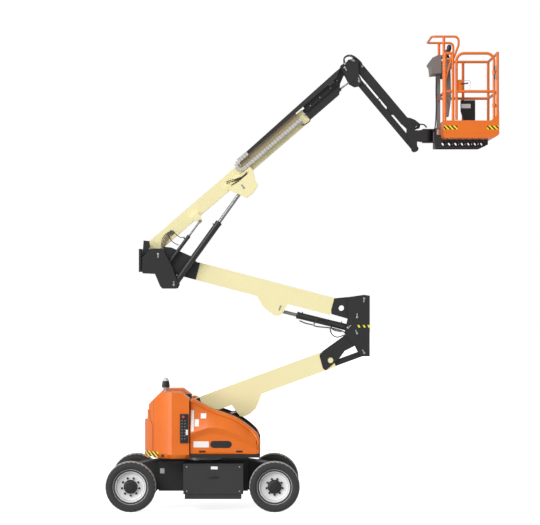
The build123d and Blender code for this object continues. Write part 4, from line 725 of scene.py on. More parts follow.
for left in (1.8, 2.12, 2.45, 2.7):
    for top, near_y, far_y in (clip_shelf, clip_lip):
        right = left + CLIP_WIDE
        strip = [(left, CLIP_FOOT), (right, CLIP_FOOT), (right, top), (left, top)]
        clip_parts.append(boom_slab(strip, near_y, far_y))
piece("cable_track_clips", clip_parts, "bare_steel", **ON_BOOM)
fly_plate = [(2.93, 0.16), (3.5, 0.16), (3.6, 0.215), (3.68, 0.3), (3.56, 0.262)]
fly_plate = [boom_slab(fly_plate + [(2.93, 0.258)], -0.0965, -0.0855)]
bolt_seats = [(3.02, 0.19), (3.2, 0.19), (3.4, 0.195), (3.54, 0.215)]
bolt_seats = on_boom([(place, -0.0965, level) for place, level in bolt_seats])
head_bolts = [turned(SMALL_BOLT, seat, (0, -1, 0), 6) for seat in bolt_seats]
piece("fly_track_plate", fly_plate, "black_paint", **ON_FLY, bevel=0.002)
piece("fly_track_bolts", head_bolts, "bare_steel", "fly_boom")
print("clips and bolts", len(clip_parts), len(head_bolts))

# %% [markdown]
# Hoses, cables and bent wire are a circle carried along a path. The path is a smooth
# curve through a few listed points, because slack rubber has no
# simpler formula between its fittings.
# %% Smooth curves and tubes
def tube(path, radius, count=10, side=(0.0, 1.0, 0.0)):
    """A round tube along a path: circles square to the path, capped at both ends."""
    path = np.asarray(path, float)
    along = unit(np.gradient(path, axis=0))
    first = unit(np.cross(along, np.asarray(side, float)) + 1e-9)[:, None]
    second = np.cross(along, first[:, 0])[:, None]
    turn = (np.arange(count) * 2 * math.pi / count)[None, :, None]
    points = path[:, None] + (np.cos(turn) * first + np.sin(turn) * second) * radius
    return points.reshape(-1, 3), capped(len(path), count)


def smooth_path(knots, steps=12):
    """A curve through knots: Catmull-Rom, a cubic whose slope at a knot joins its neighbours."""
    knots = np.asarray(knots, float)
    padded = np.vstack([2 * knots[0] - knots[1], knots, 2 * knots[-1] - knots[-2]])
    share = np.linspace(0, 1, steps, endpoint=False)[:, None]
    spans = []
    for a, b, c, d in zip(padded[:-3], padded[1:-2], padded[2:-1], padded[3:]):
        square = (2 * a - 5 * b + 4 * c - d) * share**2
        cube = (3 * b - a - 3 * c + d) * share**3
        spans.append(0.5 * (2 * b + (c - a) * share + square + cube))
    return np.vstack(spans + [knots[-1:]])


print("points on a path of three knots", len(smooth_path(np.eye(3))))

# %% [markdown]
# Hydraulic hoses are braided rubber with crimped steel ends. Each one is a round tube
# along a smooth curve through a few points. They are fixed at both ends, so their
# shape is set by their fittings and clips, and each rides on one body.
# %% Hoses on the boom
def hoses(name, body, runs, radius, finish="hose_rubber", crimps=True):
    """Tubes along curves through world points, with a crimped steel collar at each end."""
    crimp = [(radius * 1.1, 0.0), (radius * 1.45, 0.002)]
    crimp += [(radius * 1.45, 0.026), (radius * 1.15, 0.028)]
    tubes = []
    collars = []
    for run in runs:
        path = smooth_path(run)
        tubes.append(tube(path, radius))
        for end, inward in ((path[0], path[1]), (path[-1], path[-2])):
            collars.append(turned(crimp, end, inward - end, 12))
    piece(name, tubes, finish, body)
    if crimps:
        piece(f"{name}_crimps", collars, "bare_steel", body)


# Brown hoses arch out of the upright and lie on the boom's root, each inside the last.
ROOT_LANE = 0.42
root_run = np.array(
    [
        (0.078, -0.098, 0.036), (0.105, -0.102, 0.065), (0.18, -0.1, 0.128),
        (0.264, -0.094, 0.15), (0.33, -0.088, 0.14), (0.372, -0.078, 0.13),
    ]
)
root_step = np.array(
    [
        (0.045, 0.0, -0.05), (0.025, 0.0, -0.03), (0.03, 0.0, -0.045),
        (0.022, 0.0, -0.048), (0.012, 0.0, -0.04), (0.008, 0.0, -0.034),
    ]
)
root_runs = [on_boom(root_run + root_step * ROOT_LANE * lane) for lane in range(4)]
hoses("root_hoses", "main_boom", root_runs, 0.005, "hose_brown")
# Two feed the master cylinder. Three more leave the boom's side, cross its lobe and run
# up under the track's bend, and one turns back into the boom's open end.
master_runs = [
    [(0.345, -0.084, 0.146), (0.364, -0.128, 0.122), (0.386, -0.132, -0.01), (0.44, -0.132, -0.06)],
    [(0.292, -0.084, 0.146), (0.278, -0.128, 0.118), (0.266, -0.132, 0.01), (0.3, -0.132, -0.092)],
]
track_runs = [
    [(1.41, -0.084, 0.15), (1.47, -0.148, 0.122), (1.595, -0.157, 0.064), (1.705, -0.157, 0.052)],
    [(1.392, -0.084, 0.132), (1.46, -0.148, 0.104), (1.58, -0.157, 0.056), (1.69, -0.157, 0.04)],
    [(1.35, -0.084, 0.084), (1.44, -0.148, 0.066), (1.6, -0.157, 0.046), (1.72, -0.157, 0.064)],
]
end_run = [(2.86, -0.11, 0.15), (2.905, -0.118, 0.1), (2.902, -0.125, 0.055)]
end_run += [(2.86, -0.128, 0.028), (2.8, -0.122, 0.034), (2.745, -0.084, 0.062)]
hoses("master_hoses", "main_boom", [on_boom(run) for run in master_runs], 0.0055)
hoses("track_hoses", "main_boom", [on_boom(run) for run in track_runs], 0.0055, crimps=False)
hoses("boom_end_hose", "main_boom", [on_boom(end_run)], 0.007)
print("boom hoses", len(root_runs) + len(master_runs) + len(track_runs) + 1)

# %% [markdown]
# At the elbow between fly and jib, hoses arch over the yoke with slack for the jib's
# swing. Others loop under the mid cylinder, and three serve the platform's rotator.
# Their points are (X, Y, Z) shifts from a pin that they hang near.
# %% Hoses at the joints
def near_pin(joint_name, points):
    """World points from (X, Y, Z) shifts, X and Z from a pin, Y from the middle plane."""
    return np.asarray(points, float) + pin[joint_name] * [1, 0, 1]


yoke_arch = [(-0.003, 0.042), (-0.014, 0.131), (0.04, 0.176)]
yoke_arch += [(0.111, 0.166), (0.215, 0.082), (0.25, 0.005)]
yoke_runs = [
    near_pin("yoke_levelling", [(x + step, lane, z) for x, z in yoke_arch])
    for lane, step in ((-0.092, 0.0), (-0.106, 0.01), (0.092, 0.004))
]
hoses("yoke_hoses", "yoke", yoke_runs, 0.007)
lift_runs = [
    [
        (-0.69, -0.03, 0.098), (-0.6, -0.05, 0.062), (-0.519, -0.052, 0.044),
        (-0.438, -0.055, 0.016), (-0.253, -0.06, -0.004), (-0.091, -0.055, -0.044),
        (-0.009, -0.05, -0.105),
    ],
    [
        (-0.498, -0.052, 0.028), (-0.438, -0.066, 0.114), (-0.345, -0.068, 0.119),
        (-0.263, -0.07, 0.058), (-0.212, -0.066, -0.024), (-0.09, -0.06, -0.06),
    ],
    [
        (-0.253, -0.05, 0.005), (-0.233, -0.056, -0.085),
        (-0.152, -0.056, -0.135), (-0.029, -0.05, -0.095),
    ],
]
lift_runs = [near_pin("arm_lift_cylinder_pivot", run) for run in lift_runs]
hoses("mid_cylinder_hoses", "arm_lift_cylinder_barrel", lift_runs, 0.0085)
rotator_arch = [(-0.15, 0.12), (-0.11, 0.165), (-0.03, 0.16), (0.01, 0.122)]
rotator_runs = [
    near_pin("platform_rotate", [(x, lane, z) for x, z in rotator_arch])
    for lane in (-0.06, -0.035, 0.035)
]
hoses("rotator_hoses", "jib_head", rotator_runs, 0.006)
print("joint hoses", len(yoke_runs) + len(lift_runs) + len(rotator_runs))

# %% [markdown]
# Each pivot pin is held by a keeper: a small plated strip bolted to the outer plate, which
# drops into a slot across the pin's end. Keeper, bolt and pin face are all zinc grey.
# %% Pin keepers
KEEPER_LENGTH = 0.062
KEEPER_THICK = 0.004
STRIP_AT, BOLT_AT = 0.42, 0.72
PIN_FACE = [(0.016, -0.004), (0.016, 0.001), (0.013, 0.003), (0.001, 0.003)]
KEEPER_BOLT = [(0.009, 0.0), (0.009, 0.004), (0.006, 0.005)]


def keeper(at, side, degrees):
    """A keeper strip beside a pin's face, the pin's chamfered end face, and the strip's bolt."""
    out = np.array([0.0, side, 0.0])
    along = around(0, 1, math.radians(degrees))
    strip = rounded(KEEPER_LENGTH, 0.018, 0.008)
    middle = at + along * KEEPER_LENGTH * STRIP_AT + out * 0.0024
    bolt_seat = at + along * KEEPER_LENGTH * BOLT_AT + out * KEEPER_THICK
    return [
        slab(strip, KEEPER_THICK, middle, along, np.cross(along, -out)),
        turned(PIN_FACE, at + out * 0.001, out, 20),
        turned(KEEPER_BOLT, bolt_seat, out, 6),
    ]


KEEPERS = [
    # a joint's pin, a shift from it in X and Z, the body whose plate carries it, degrees
    ("mid_upright_pivot", (0, 0), "mid_upright", 115),
    ("upper_arm_pivot", (0, 0), "mid_upright", 90),
    ("upper_arm_pivot", (0.102, 0.267), "mid_upright", -100),
    ("mid_upright_pivot", (0.102, -0.279), "mid_upright", 120),
    ("arm_lift_cylinder_pivot", (0, 0), "mid_upright", 40),
    ("main_lift", (0, 0), "upper_upright", -90),
    ("yoke_levelling", (0, 0), "yoke", -60),
    ("jib_lift", (0, 0), "yoke", 160),
    ("jib_link_pivot", (0, 0), "yoke", 100),
    ("boom_lift_cylinder_pivot", (0, 0), "upper_upright", 90),
    ("upper_arm_pivot", (-1.109, 0.114), "upper_arm", 70),
]
for body in sorted({row[2] for row in KEEPERS}):
    low, high = box_of(body)
    parts = []
    for joint_name, (shift_x, shift_z), owner, degrees in KEEPERS:
        if owner == body:
            x, z = pin[joint_name][0] + shift_x, pin[joint_name][2] + shift_z
            parts += keeper(np.array([x, low[1], z]), NEAR, degrees)
            parts += keeper(np.array([x, high[1], z]), FAR, degrees)
    piece(f"pin_keepers_{body}", parts, "bare_steel", body)
# The lobe's pin is the eye of the boom cylinder's rod, outside the lobe's cheek.
LOBE_REACH, LOBE_FACE, LOBE_HEIGHT = 0.99, -0.2625, 4.548
lobe_pin = np.array([pin["boom_lift_cylinder_pivot"][0] + LOBE_REACH, LOBE_FACE, LOBE_HEIGHT])
piece("pin_keeper_boom_lobe", keeper(lobe_pin, NEAR, 125), "bare_steel", "main_boom")
print("keepers", len(KEEPERS) * 2 + 1)

# %% [markdown]
# A hydraulic cylinder has more on it than a tube: a screwed gland where the rod leaves,
# a weld ring at the base, ports with fittings, and a wiper seal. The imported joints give
# each cylinder's base pin and line.
# %% Cylinder glands and ports
ROD_GAP = 0.0006
PORT = [(0.011, 0.0), (0.011, 0.01), (0.008, 0.011), (0.008, 0.02), (0.005, 0.021)]
CYLINDERS = [
    # name, barrel radius, rod radius, distance between pins, barrel's share
    ("tower_lift_cylinder", 0.047, 0.028, 0.8696, 0.75),
    ("arm_lift_cylinder", 0.047, 0.024, 1.0009, 0.75),
    ("boom_lift_cylinder", 0.046, 0.026, 1.693, 0.65),
    ("master_cylinder", 0.026, 0.014, 0.749, 0.65),
    ("slave_cylinder", 0.026, 0.013, 0.706, 0.72),
    ("jib_lift_cylinder", 0.036, 0.018, 0.604, 0.72),
]
for cylinder, barrel_r, rod_r, span, portion in CYLINDERS:
    barrel = f"{cylinder}_barrel"
    base = pin[f"{cylinder}_pivot"]
    line = np.array(joints[f"{cylinder}_slide"]["axis"], float)
    mouth = base + line * span * portion
    gland = [
        (barrel_r - 0.001, -0.04), (barrel_r * 1.03, -0.04), (barrel_r * 1.06, -0.036),
        (barrel_r * 1.06, -0.006), (barrel_r * 1.03, -0.002), (rod_r + ROD_GAP, -0.002),
    ]
    weld = [(barrel_r - 0.001, -0.006), (barrel_r + 0.003, 0.0), (barrel_r - 0.001, 0.006)]
    foot = base + line * (barrel_r + 0.035)
    parts = [turned(gland, mouth, line, 36), turned(weld, foot, line, 36)]
    upward = np.cross(line, (0.0, -1.0, 0.0))
    upward = upward * (1 if upward[2] > 0 else -1)
    for distance in (barrel_r + 0.06, span * portion - 0.07):
        seat = base + line * distance + upward * (barrel_r - 0.002)
        parts.append(turned(PORT, seat, upward, 6))
    piece(f"{cylinder}_gland", parts, "cylinder_black", barrel)
    wiper = [(rod_r + 0.0055, 0.001), (rod_r + 0.0055, 0.004), (rod_r + ROD_GAP, 0.006)]
    wiper = [turned(wiper, mouth, line, 36)]
    piece(f"{cylinder}_wiper", wiper, "black_plastic", barrel)
print("cylinders dressed", len(CYLINDERS))

# %% [markdown]
# Folded plates close the boom's root. Two gussets stiffen the upper arm's end between
# the cylinders, a bracket stands behind the boom's root, and a guard plate hangs on two
# spacers behind the upright. Outlines are X and Z shifts from the upper arm's pin.
# %% Plates at the boom's root
root_at = pin["upper_upright_pivot"] * [1, 0, 1]


def root_plates(outline, low, high):
    """The same plate on both sides: an outline of shifts from the pin, between two Y planes."""
    shift = np.array([0, (low + high) / 2, 0])
    return [side_plate(outline, high - low, root_at + side * shift) for side in SIDES]


gusset = [(0.222, 0.226), (0.326, 0.214), (0.621, 0.083), (0.697, -0.007)]
gusset += [(0.654, -0.206), (0.526, -0.192), (0.262, -0.11), (0.25, 0.1)]
gussets = root_plates(gusset, 0.1145, 0.1225)
piece("upper_arm_gussets", gussets, "black_paint", "upper_arm", smooth=False, bevel=0.002)
bracket = [(-0.064, 0.313), (0.02, 0.305), (0.03, 0.23), (0.0, 0.16), (-0.079, 0.1)]
guards = root_plates(bracket, 0.145, 0.157)
for height in (-0.06, 0.1):
    for side in SIDES:
        seat = root_at + [-0.094, side * 0.18, height]
        guards.append(turned([(0.018, 0.0), (0.018, 0.022)], seat, (1, 0, 0), 16))
rear_plate = [(-0.128, -0.135), (-0.094, -0.135), (-0.094, 0.193), (-0.128, 0.193)]
guards.append(side_plate(rear_plate, 0.44, root_at))
piece("root_guard_plates", guards, "black_paint", "upper_upright", smooth=False, bevel=0.003)
print("root plates", len(gussets) + len(guards))

# %% [markdown]
# Each hood is one moulded shell. Its upper panel leans in and its top edge swells in a
# long curve down to a rounded nose. A crease runs along the side, and under it the panel
# tucks in. Knots are (X, Z) with X from the slewing axis, in metres.
# %% Hood outline
HOODS = ((NEAR, "hood_left"), (FAR, "hood_right"))
hood_low, hood_high = box_of("hood_left")
HOOD_FACE = max(abs(hood_low[1]), abs(hood_high[1]))
HOOD_INNER = min(abs(hood_low[1]), abs(hood_high[1])) + 0.001
HOOD_NOSE = hood_high[0] - slew_x
HOOD_START = hood_low[0] - slew_x
HOOD_FOOT = hood_low[2]
HOOD_TOP = hood_high[2]
HOOD_SCOOP = 0.03
HOOD_LEAN = 0.12
HOOD_TUCK = 0.085
EDGE_R = 0.04
TOP_KNOTS = [
    (HOOD_START, HOOD_TOP), (-0.13, HOOD_TOP), (-0.05, 1.518), (0.06, 1.463),
    (0.19, 1.402), (0.32, 1.36), (0.45, 1.308), (0.57, 1.236), (0.68, 1.152),
    (0.755, 1.078), (0.792, 1.0), (HOOD_NOSE, 0.91), (HOOD_NOSE, 0.83),
    (HOOD_NOSE - 0.006, HOOD_FOOT),
]
CREASE_KNOTS = [(HOOD_START, 1.089), (0.068, 1.172), (0.16, 1.176), (0.312, 1.149)]
CREASE_KNOTS += [(0.522, 1.065), (HOOD_NOSE, 0.93)]


def top_line():
    """The hood's side outline as a smooth curve, and its outward direction in the XZ plane."""
    line = smooth_path(TOP_KNOTS, 8)
    slope = unit(np.gradient(line, axis=0))
    return line, np.column_stack([-slope[:, 1], slope[:, 0]])


def crease_height(x):
    """Height of the crease at a distance along the hood."""
    return np.interp(x, *np.transpose(CREASE_KNOTS))


def hood_depth(x, z, top):
    """How far out the panel stands: it leans in above the crease and tucks in below it."""
    crease = crease_height(x)
    lean = HOOD_LEAN * np.clip((z - crease) / np.maximum(top - crease, 0.12), 0, 1)
    tuck = HOOD_SCOOP * np.clip((crease - z) / HOOD_TUCK, 0, 1)
    return HOOD_FACE - 0.001 - lean - tuck


print("hood outline points", len(top_line()[0]))

# %% [markdown]
# A hood's shell is two grids. The side panel rises from the foot, past the tuck and the
# crease, to just under the edge. The strip rolls a quarter circle over the edge, runs in
# and turns down. Both are open surfaces, so Solidify gives the moulding its wall.
# %% Hood shells
def hood_shell(side):
    """The side panel and the rounded top strip of one hood, as two grids."""
    line, outward = top_line()
    inset = line - EDGE_R * outward
    inset[:, 0] = np.clip(inset[:, 0], HOOD_START, None)
    wall_end = HOOD_NOSE - EDGE_R
    x = np.linspace(HOOD_START, wall_end, 60)
    rising = inset[: int(np.argmax(inset[:, 0] >= wall_end - 0.001)) + 1]
    top = np.interp(x, rising[:, 0], rising[:, 1])
    crease = np.minimum(crease_height(x), top - 0.01)
    share = np.linspace(0, 1, 9)[:, None]
    tuck_foot = np.maximum(crease - HOOD_TUCK, HOOD_FOOT + 0.01)
    below = HOOD_FOOT + (tuck_foot - HOOD_FOOT) * share[:-1]
    tucked = tuck_foot + (crease - tuck_foot) * share[:-1]
    z = np.vstack([below, tucked, crease + (top - crease) * share])
    wide_x = np.broadcast_to(x, z.shape)
    depth = hood_depth(wide_x, z, top[None, :])
    wall = np.stack([slew_x + wide_x, side * depth, z], axis=-1)
    peak = np.maximum(np.interp(inset[:, 0], x, top), inset[:, 1])
    edge = hood_depth(inset[:, 0], inset[:, 1], peak)
    turn = np.linspace(0, math.pi / 2, 6)[:, None]
    out = EDGE_R * np.sin(turn)
    strip_x = inset[None, :, 0] + out * outward[None, :, 0]
    strip_z = inset[None, :, 1] + out * outward[None, :, 1]
    strip_y = edge[None, :] - EDGE_R * (1 - np.cos(turn))
    last = np.stack([strip_x[-1], 0 * edge + HOOD_INNER, strip_z[-1]], axis=-1)
    flange = last - 0.05 * np.column_stack([outward[:, 0], 0 * edge, outward[:, 1]])
    strip = np.concatenate([np.stack([strip_x, strip_y, strip_z], axis=-1), [last, flange]])
    parts = []
    for grid in (wall, strip * [1, side, 1] + [slew_x, 0, 0]):
        faces = grid_quads(*grid.shape[:2])
        faces = faces[:, ::-1] if side > 0 else faces
        parts.append((grid.reshape(-1, 3), faces.tolist()))
    return parts


def thicken(shell, thickness):
    """Gives an open shell its wall, inwards from the face that shows."""
    wall = shell.modifiers.new("wall", "SOLIDIFY")
    wall.thickness = thickness
    wall.offset = -1.0


HOOD_WALL = 0.008
for side, owner in HOODS:
    shell = piece(f"{owner}_shell", hood_shell(side), "orange_paint", owner, replace=[owner])
    thicken(shell, HOOD_WALL)
    print(owner, "shell faces", len(shell.data.polygons))

# %% [markdown]
# A black rubber seal stands up inside each hood, along its inner edge, and goes with it.
# It is a plate whose top edge follows the hood's outline and swells above it.
# %% Hood seals
SEAL_THICK = 0.008
SEAL_Y = 0.283
SEAL_START = 0.16
SEAL_DEEP = 0.11
line, outward = top_line()
falling = line[:90]  # the rows before the nose goes straight down
seal_x = np.linspace(SEAL_START, HOOD_NOSE - 0.045, 40)
seal_top = np.interp(seal_x, falling[:, 0], falling[:, 1])
fade_in = np.clip((seal_x - SEAL_START) / 0.1, 0, 1)
swell = 0.016 * fade_in * np.clip((HOOD_NOSE - seal_x) / 0.15, 0, 1)
upper_edge = np.column_stack([seal_x, seal_top + swell])
lower_edge = np.column_stack([seal_x, seal_top - SEAL_DEEP])[::-1]
seal = np.vstack([upper_edge, lower_edge])
for side, owner in HOODS:
    seal_parts = [side_plate(seal, SEAL_THICK, (slew_x, side * SEAL_Y, 0))]
    piece(f"seal_{owner}", seal_parts, "black_plastic", owner, smooth=False)
print("seal points", len(seal))

# %% [markdown]
# The tower cover is a second moulding. In plan it is flat beside the control panel,
# turns a soft corner, and follows the tail's circle round. Its top edge is rounded too.
# Rows climb the side and roll over the top edge; columns go round the plan.
# %% Tower covers
tower_low, tower_high = box_of("tower_covers")
COVER_Y = tower_high[1]
COVER_TOP = tower_high[2]
COVER_FOOT = tower_low[2] - 0.055
COVER_R = 0.843
COVER_INNER = 0.306
COVER_WALL = 0.006
ROLL_R = 0.05
# The roof's height at distances from the slewing axis, from the tail forwards.
roof = np.array(
    [
        (-0.845, 1.4), (-0.808, 1.44), (-0.77, 1.5), (-0.737, 1.556), (-0.597, 1.65),
        (-0.475, COVER_TOP), (-0.33, COVER_TOP - 0.012), (-0.23, 1.607), (-0.19, 1.574),
    ]
)
flat_end = -math.sqrt(COVER_R**2 - COVER_Y**2)
corner = [
    (tower_high[0] - slew_x, COVER_Y - 0.016), (-0.26, COVER_Y - 0.01),
    (-0.345, COVER_Y - 0.003), (flat_end + 0.058, COVER_Y - 0.001),
    (flat_end + 0.022, COVER_Y - 0.007), (flat_end - 0.012, COVER_Y - 0.022),
    (flat_end - 0.046, COVER_Y - 0.046),
]
sweep = np.radians(np.linspace(126.5, 146.5, 12))
plan = np.vstack([corner, np.column_stack([np.cos(sweep), np.sin(sweep)]) * COVER_R])
plan_slope = unit(np.gradient(plan, axis=0))
plan_out = np.column_stack([plan_slope[:, 1], -plan_slope[:, 0]])
plan_out = plan_out * np.sign(plan_out[:, 1:2])


def cover_shell(side):
    """The wall round the plan, its rolled top edge and a roof that runs in to the channel."""
    top = np.interp(plan[:, 0], roof[:, 0], roof[:, 1]) - ROLL_R
    rise = np.linspace(0, 1, 12)[:, None]
    wall_z = COVER_FOOT + (top - COVER_FOOT) * rise
    wall_x, wall_y = (np.broadcast_to(plan[:, k], wall_z.shape) for k in (0, 1))
    wall = np.stack([wall_x, wall_y, wall_z], axis=-1)
    turn = np.linspace(0, math.pi / 2, 7)[1:, None]
    back = ROLL_R * (1 - np.cos(turn))
    roll_x, roll_y = (plan[:, k] - back * plan_out[:, k] for k in (0, 1))
    roll = np.stack([roll_x, roll_y, top + ROLL_R * np.sin(turn)], axis=-1)
    inner = roll[-1].copy()
    inner[:, 1] = np.minimum(inner[:, 1], COVER_INNER)
    grid = np.concatenate([wall, roll, inner[None]]) * [1, side, 1] + [slew_x, 0, 0]
    faces = grid_quads(*grid.shape[:2])
    faces = faces[:, ::-1] if side < 0 else faces
    return grid.reshape(-1, 3), faces.tolist()


cover_parts = [cover_shell(side) for side in SIDES]
covers = piece("tower_cover_shells", cover_parts, "orange_paint", "turntable")
thicken(covers, COVER_WALL)
print("cover shells", len(covers.data.polygons))

# %% [markdown]
# The covers are moulded orange panels. What makes them read as panels is small: the
# flush latches, the badge and the blank labels. Labels are thin vinyl sheets, so they
# are plates under a millimetre thick, seated on the panel. The hood's upper panel leans,
# so a label there is one face with its corners on the panel's own depth.
# %% Labels, badge, latches
LABEL_THICK = 0.0008
LABEL_SEAT = 0.4
LABEL_LIFT = 0.0012
hood_sheet_y = HOOD_FACE - 0.001 - HOOD_SCOOP
SHEET_Z = 0.938
LATCH_Z = 0.838
# A latch is a plate with a raised bar on it: outline, thickness, and lift off the panel.
LATCH_PLATES = [
    (rounded(0.095, 0.026, 0.012), 0.004, 0.0015),
    (rounded(0.05, 0.012, 0.005), 0.012, 0.004),
]


def label(outline, x, z, y, side):
    """A thin sheet on a panel that faces along Y, its back just inside the panel's face."""
    return side_plate(outline, LABEL_THICK, (x, y + side * LABEL_THICK * LABEL_SEAT, z), side)


def leaning_label(x, low, high, width, side, top):
    """A strip of vinyl on the leaning panel: two ends set on the panel's depth below its top."""
    corners = []
    for z in (low, high):
        y = side * (hood_depth(x, z, top) + LABEL_LIFT)
        corners += [(slew_x + x - width / 2, y, z), (slew_x + x + width / 2, y, z)]
    return np.array(corners), [[0, 1, 3, 2] if side < 0 else [0, 2, 3, 1]]


for side, owner in HOODS:
    y = side * hood_sheet_y
    start = hood_low[0]
    sheet = [label(rounded(0.215, 0.085, 0.008), start + 0.155, SHEET_Z, y, side)]
    piece(f"label_{owner}", sheet, "label_white", owner, smooth=False)
    badge_at = (start + 0.432, y + side * 0.0028, SHEET_Z)
    badge = [side_plate(rounded(0.3, 0.098, 0.0485), 0.006, badge_at, side)]
    piece(f"badge_{owner}", badge, "black_plastic", owner, smooth=False, bevel=0.002)
    latches = []
    for x in (start + 0.17, start + 0.69):
        for outline, thick, lift in LATCH_PLATES:
            latches.append(side_plate(outline, thick, (x, y + side * lift, LATCH_Z), side))
    piece(f"latches_{owner}", latches, "black_plastic", owner, smooth=False, bevel=0.0015)
for side, owner in HOODS:
    strips = [
        leaning_label(-0.146, 1.12, 1.414, 0.04, side, 1.53),
        leaning_label(-0.085, 1.19, 1.29, 0.06, side, 1.5),
        leaning_label(0.01, 1.3, 1.37, 0.078, side, 1.46),
    ]
    piece(f"labels_upper_{owner}", strips, "label_white", owner, smooth=False)
tower_label = rounded(0.018, 0.07, 0.003)
tower_label = [label(tower_label, slew_x - 0.232, 1.48, 0.01 - COVER_Y, NEAR)]
piece("label_tower", tower_label, "label_white", "turntable", smooth=False)
print("hood sheets laid on the face at", round(hood_sheet_y, 3))

# %% [markdown]
# The striped tape is one sheet, with slanted bars of black laid over yellow. The bars
# are a pattern in the material: 31 mm of the edge each, at 45 degrees to it.
# %% Striped tape
STRIPE_PITCH = 0.062
TAPE_Z = (0.752, 0.822)
TAPE_LIFT = 0.0007


def striped(name, pitch):
    """Yellow tape with slanted black bars: the fraction of (x + z) / pitch, above half black."""
    material, tree, shader, place = blank_material(name)
    split = add(tree, "SeparateXYZ", {"Vector": place}).outputs
    slant = add(tree, "Math", {0: split["Z"], 1: split["X"]}, operation="ADD")
    turns = add(tree, "Math", {0: slant, 1: pitch}, operation="DIVIDE")
    part = add(tree, "Math", {0: turns}, operation="FRACT")
    black = add(tree, "Math", {0: part, 1: 0.5}, operation="GREATER_THAN")
    wear = add(tree, "TexNoise", {"Vector": place, "Scale": 90.0, "Detail": 4.0})
    gloss = add(tree, "MapRange", {"Value": wear, "To Min": 0.28, "To Max": 0.5})
    body = {"Factor": black, "A": linear("#f7d523"), "B": linear("#1d1d1e")}
    body = add(tree, "Mix", body, data_type="RGBA")
    feed(tree, shader, {"Base Color": body, "Roughness": gloss})
    return material


FINISHES["striped_tape"] = striped("vinyl_tape_striped", STRIPE_PITCH)
tape_r = slew_x - box_of("counterweight")[0][0] + TAPE_LIFT
band = []
for start, stop in ((138, 174), (186, 222)):
    turn = np.radians(np.linspace(start, stop, 25))
    x, y = slew_x + tape_r * np.cos(turn), tape_r * np.sin(turn)
    rows = [np.column_stack([x, y, np.full(len(turn), z)]) for z in TAPE_Z]
    band.append((np.vstack(rows), grid_quads(2, len(turn))[:, ::-1].tolist()))
piece("tail_tape", band, "striped_tape", "turntable")
print("tail tape at radius", round(tape_r, 3))

# %% [markdown]
# The ground control panel is a tall dark box with toggles in two columns, a red stop
# button and a small blank display. Its toggles are short plated levers on hex nuts.
# %% Ground controls
TOGGLE_ROWS = 7
TOGGLE_PITCH = 0.042
TOGGLE_NUT = [(0.007, 0.0), (0.007, 0.004), (0.0045, 0.005)]
TOGGLE = [(0.0022, 0.0), (0.0032, 0.014), (0.0012, 0.016)]
STOP_BUTTON = [(0.012, 0.0), (0.012, 0.012), (0.019, 0.014), (0.019, 0.02), (0.014, 0.024)]
panel_low, panel_high = box_of("ground_control_panel")
panel_x = (panel_low[0] + panel_high[0]) / 2
panel_face = panel_low[1]
toggles = []
for row in range(TOGGLE_ROWS):
    for x in (-0.028, 0.012):
        seat = (panel_x + x, panel_face, panel_low[2] + 0.06 + row * TOGGLE_PITCH)
        toggles.append(turned(TOGGLE_NUT, seat, (0, -1, 0), 6))
        toggles.append(turned(TOGGLE, seat, (0, -1, 0.35), 8))
piece("panel_toggles", toggles, "bare_steel", "turntable")
stop_seat = (panel_x - 0.01, panel_face, panel_high[2] - 0.04)
panel_stop = [turned(STOP_BUTTON, stop_seat, (0, -1, 0), 24)]
piece("panel_stop", panel_stop, "signal_red", "turntable")
display_at = (panel_x + 0.038, panel_face - 0.001, panel_low[2] + 0.15)
display = [side_plate(rounded(0.03, 0.075, 0.004), 0.003, display_at)]
piece("panel_display", display, "label_white", "turntable", smooth=False)
print("toggles", len(toggles) // 2)

# %% [markdown]
# The battery boxes open as drawers. A painted shadow line (a black strip where the drawer's
# gap is in shade), four bolts and a bent handle show it, with a blank plate above. The chassis side carries one
# more blank plate.
# %% Battery box trim
BOX_BOLT = [(0.011, 0.0), (0.011, 0.002), (0.008, 0.002), (0.008, 0.007), (0.006, 0.008)]
boxes_low, boxes_high = box_of("battery_boxes")
boxes_middle = (boxes_low[0] + boxes_high[0]) / 2
handle = [(-0.06, 0.0, 0.0), (-0.055, 0.022, 0.0), (0.0, 0.028, 0.0)]
handle = smooth_path(handle + [(0.055, 0.022, 0.0), (0.06, 0.0, 0.0)])
handle_and_shadow_line = []
plates = []
bolts = []
for side in SIDES:
    y = side * boxes_high[1]
    for x in (boxes_low[0] + 0.05, boxes_high[0] - 0.05):
        for z in (boxes_low[2] + 0.11, boxes_high[2] - 0.04):
            bolts.append(turned(BOX_BOLT, (x, y, z), (0.0, side, 0.0), 12))
    # Painted shadow: a black strip along the top stands for the shade in the drawer's gap.
    line_low = (boxes_low[0] + 0.02, y - side * 0.002, boxes_high[2] - 0.018)
    line_high = (boxes_high[0] - 0.02, y + side * 0.0015, boxes_high[2] - 0.014)
    handle_and_shadow_line.append(brick(line_low, line_high))
    centre = np.array([boxes_middle, y, boxes_high[2] - 0.18])
    handle_and_shadow_line.append(tube(handle * [1, side, 1] + centre, 0.006, 10, UP))
    plates.append(label(rounded(0.095, 0.04, 0.006), centre[0] + 0.015, 0.618, y, side))
piece("battery_box_trim", handle_and_shadow_line, "black_plastic", "chassis")
piece("battery_box_bolts", bolts, "bare_steel", "chassis")
piece("battery_box_label", plates, "label_white", "chassis", smooth=False)
frame_x, frame_y = box_of("chassis_frame")[0][:2]
frame_plate = [label(rounded(0.063, 0.07, 0.004), frame_x + 0.62, 0.545, frame_y, NEAR)]
piece("chassis_label", frame_plate, "track_grey", "chassis", smooth=False)
print("battery boxes from", np.round(boxes_low, 3).tolist())

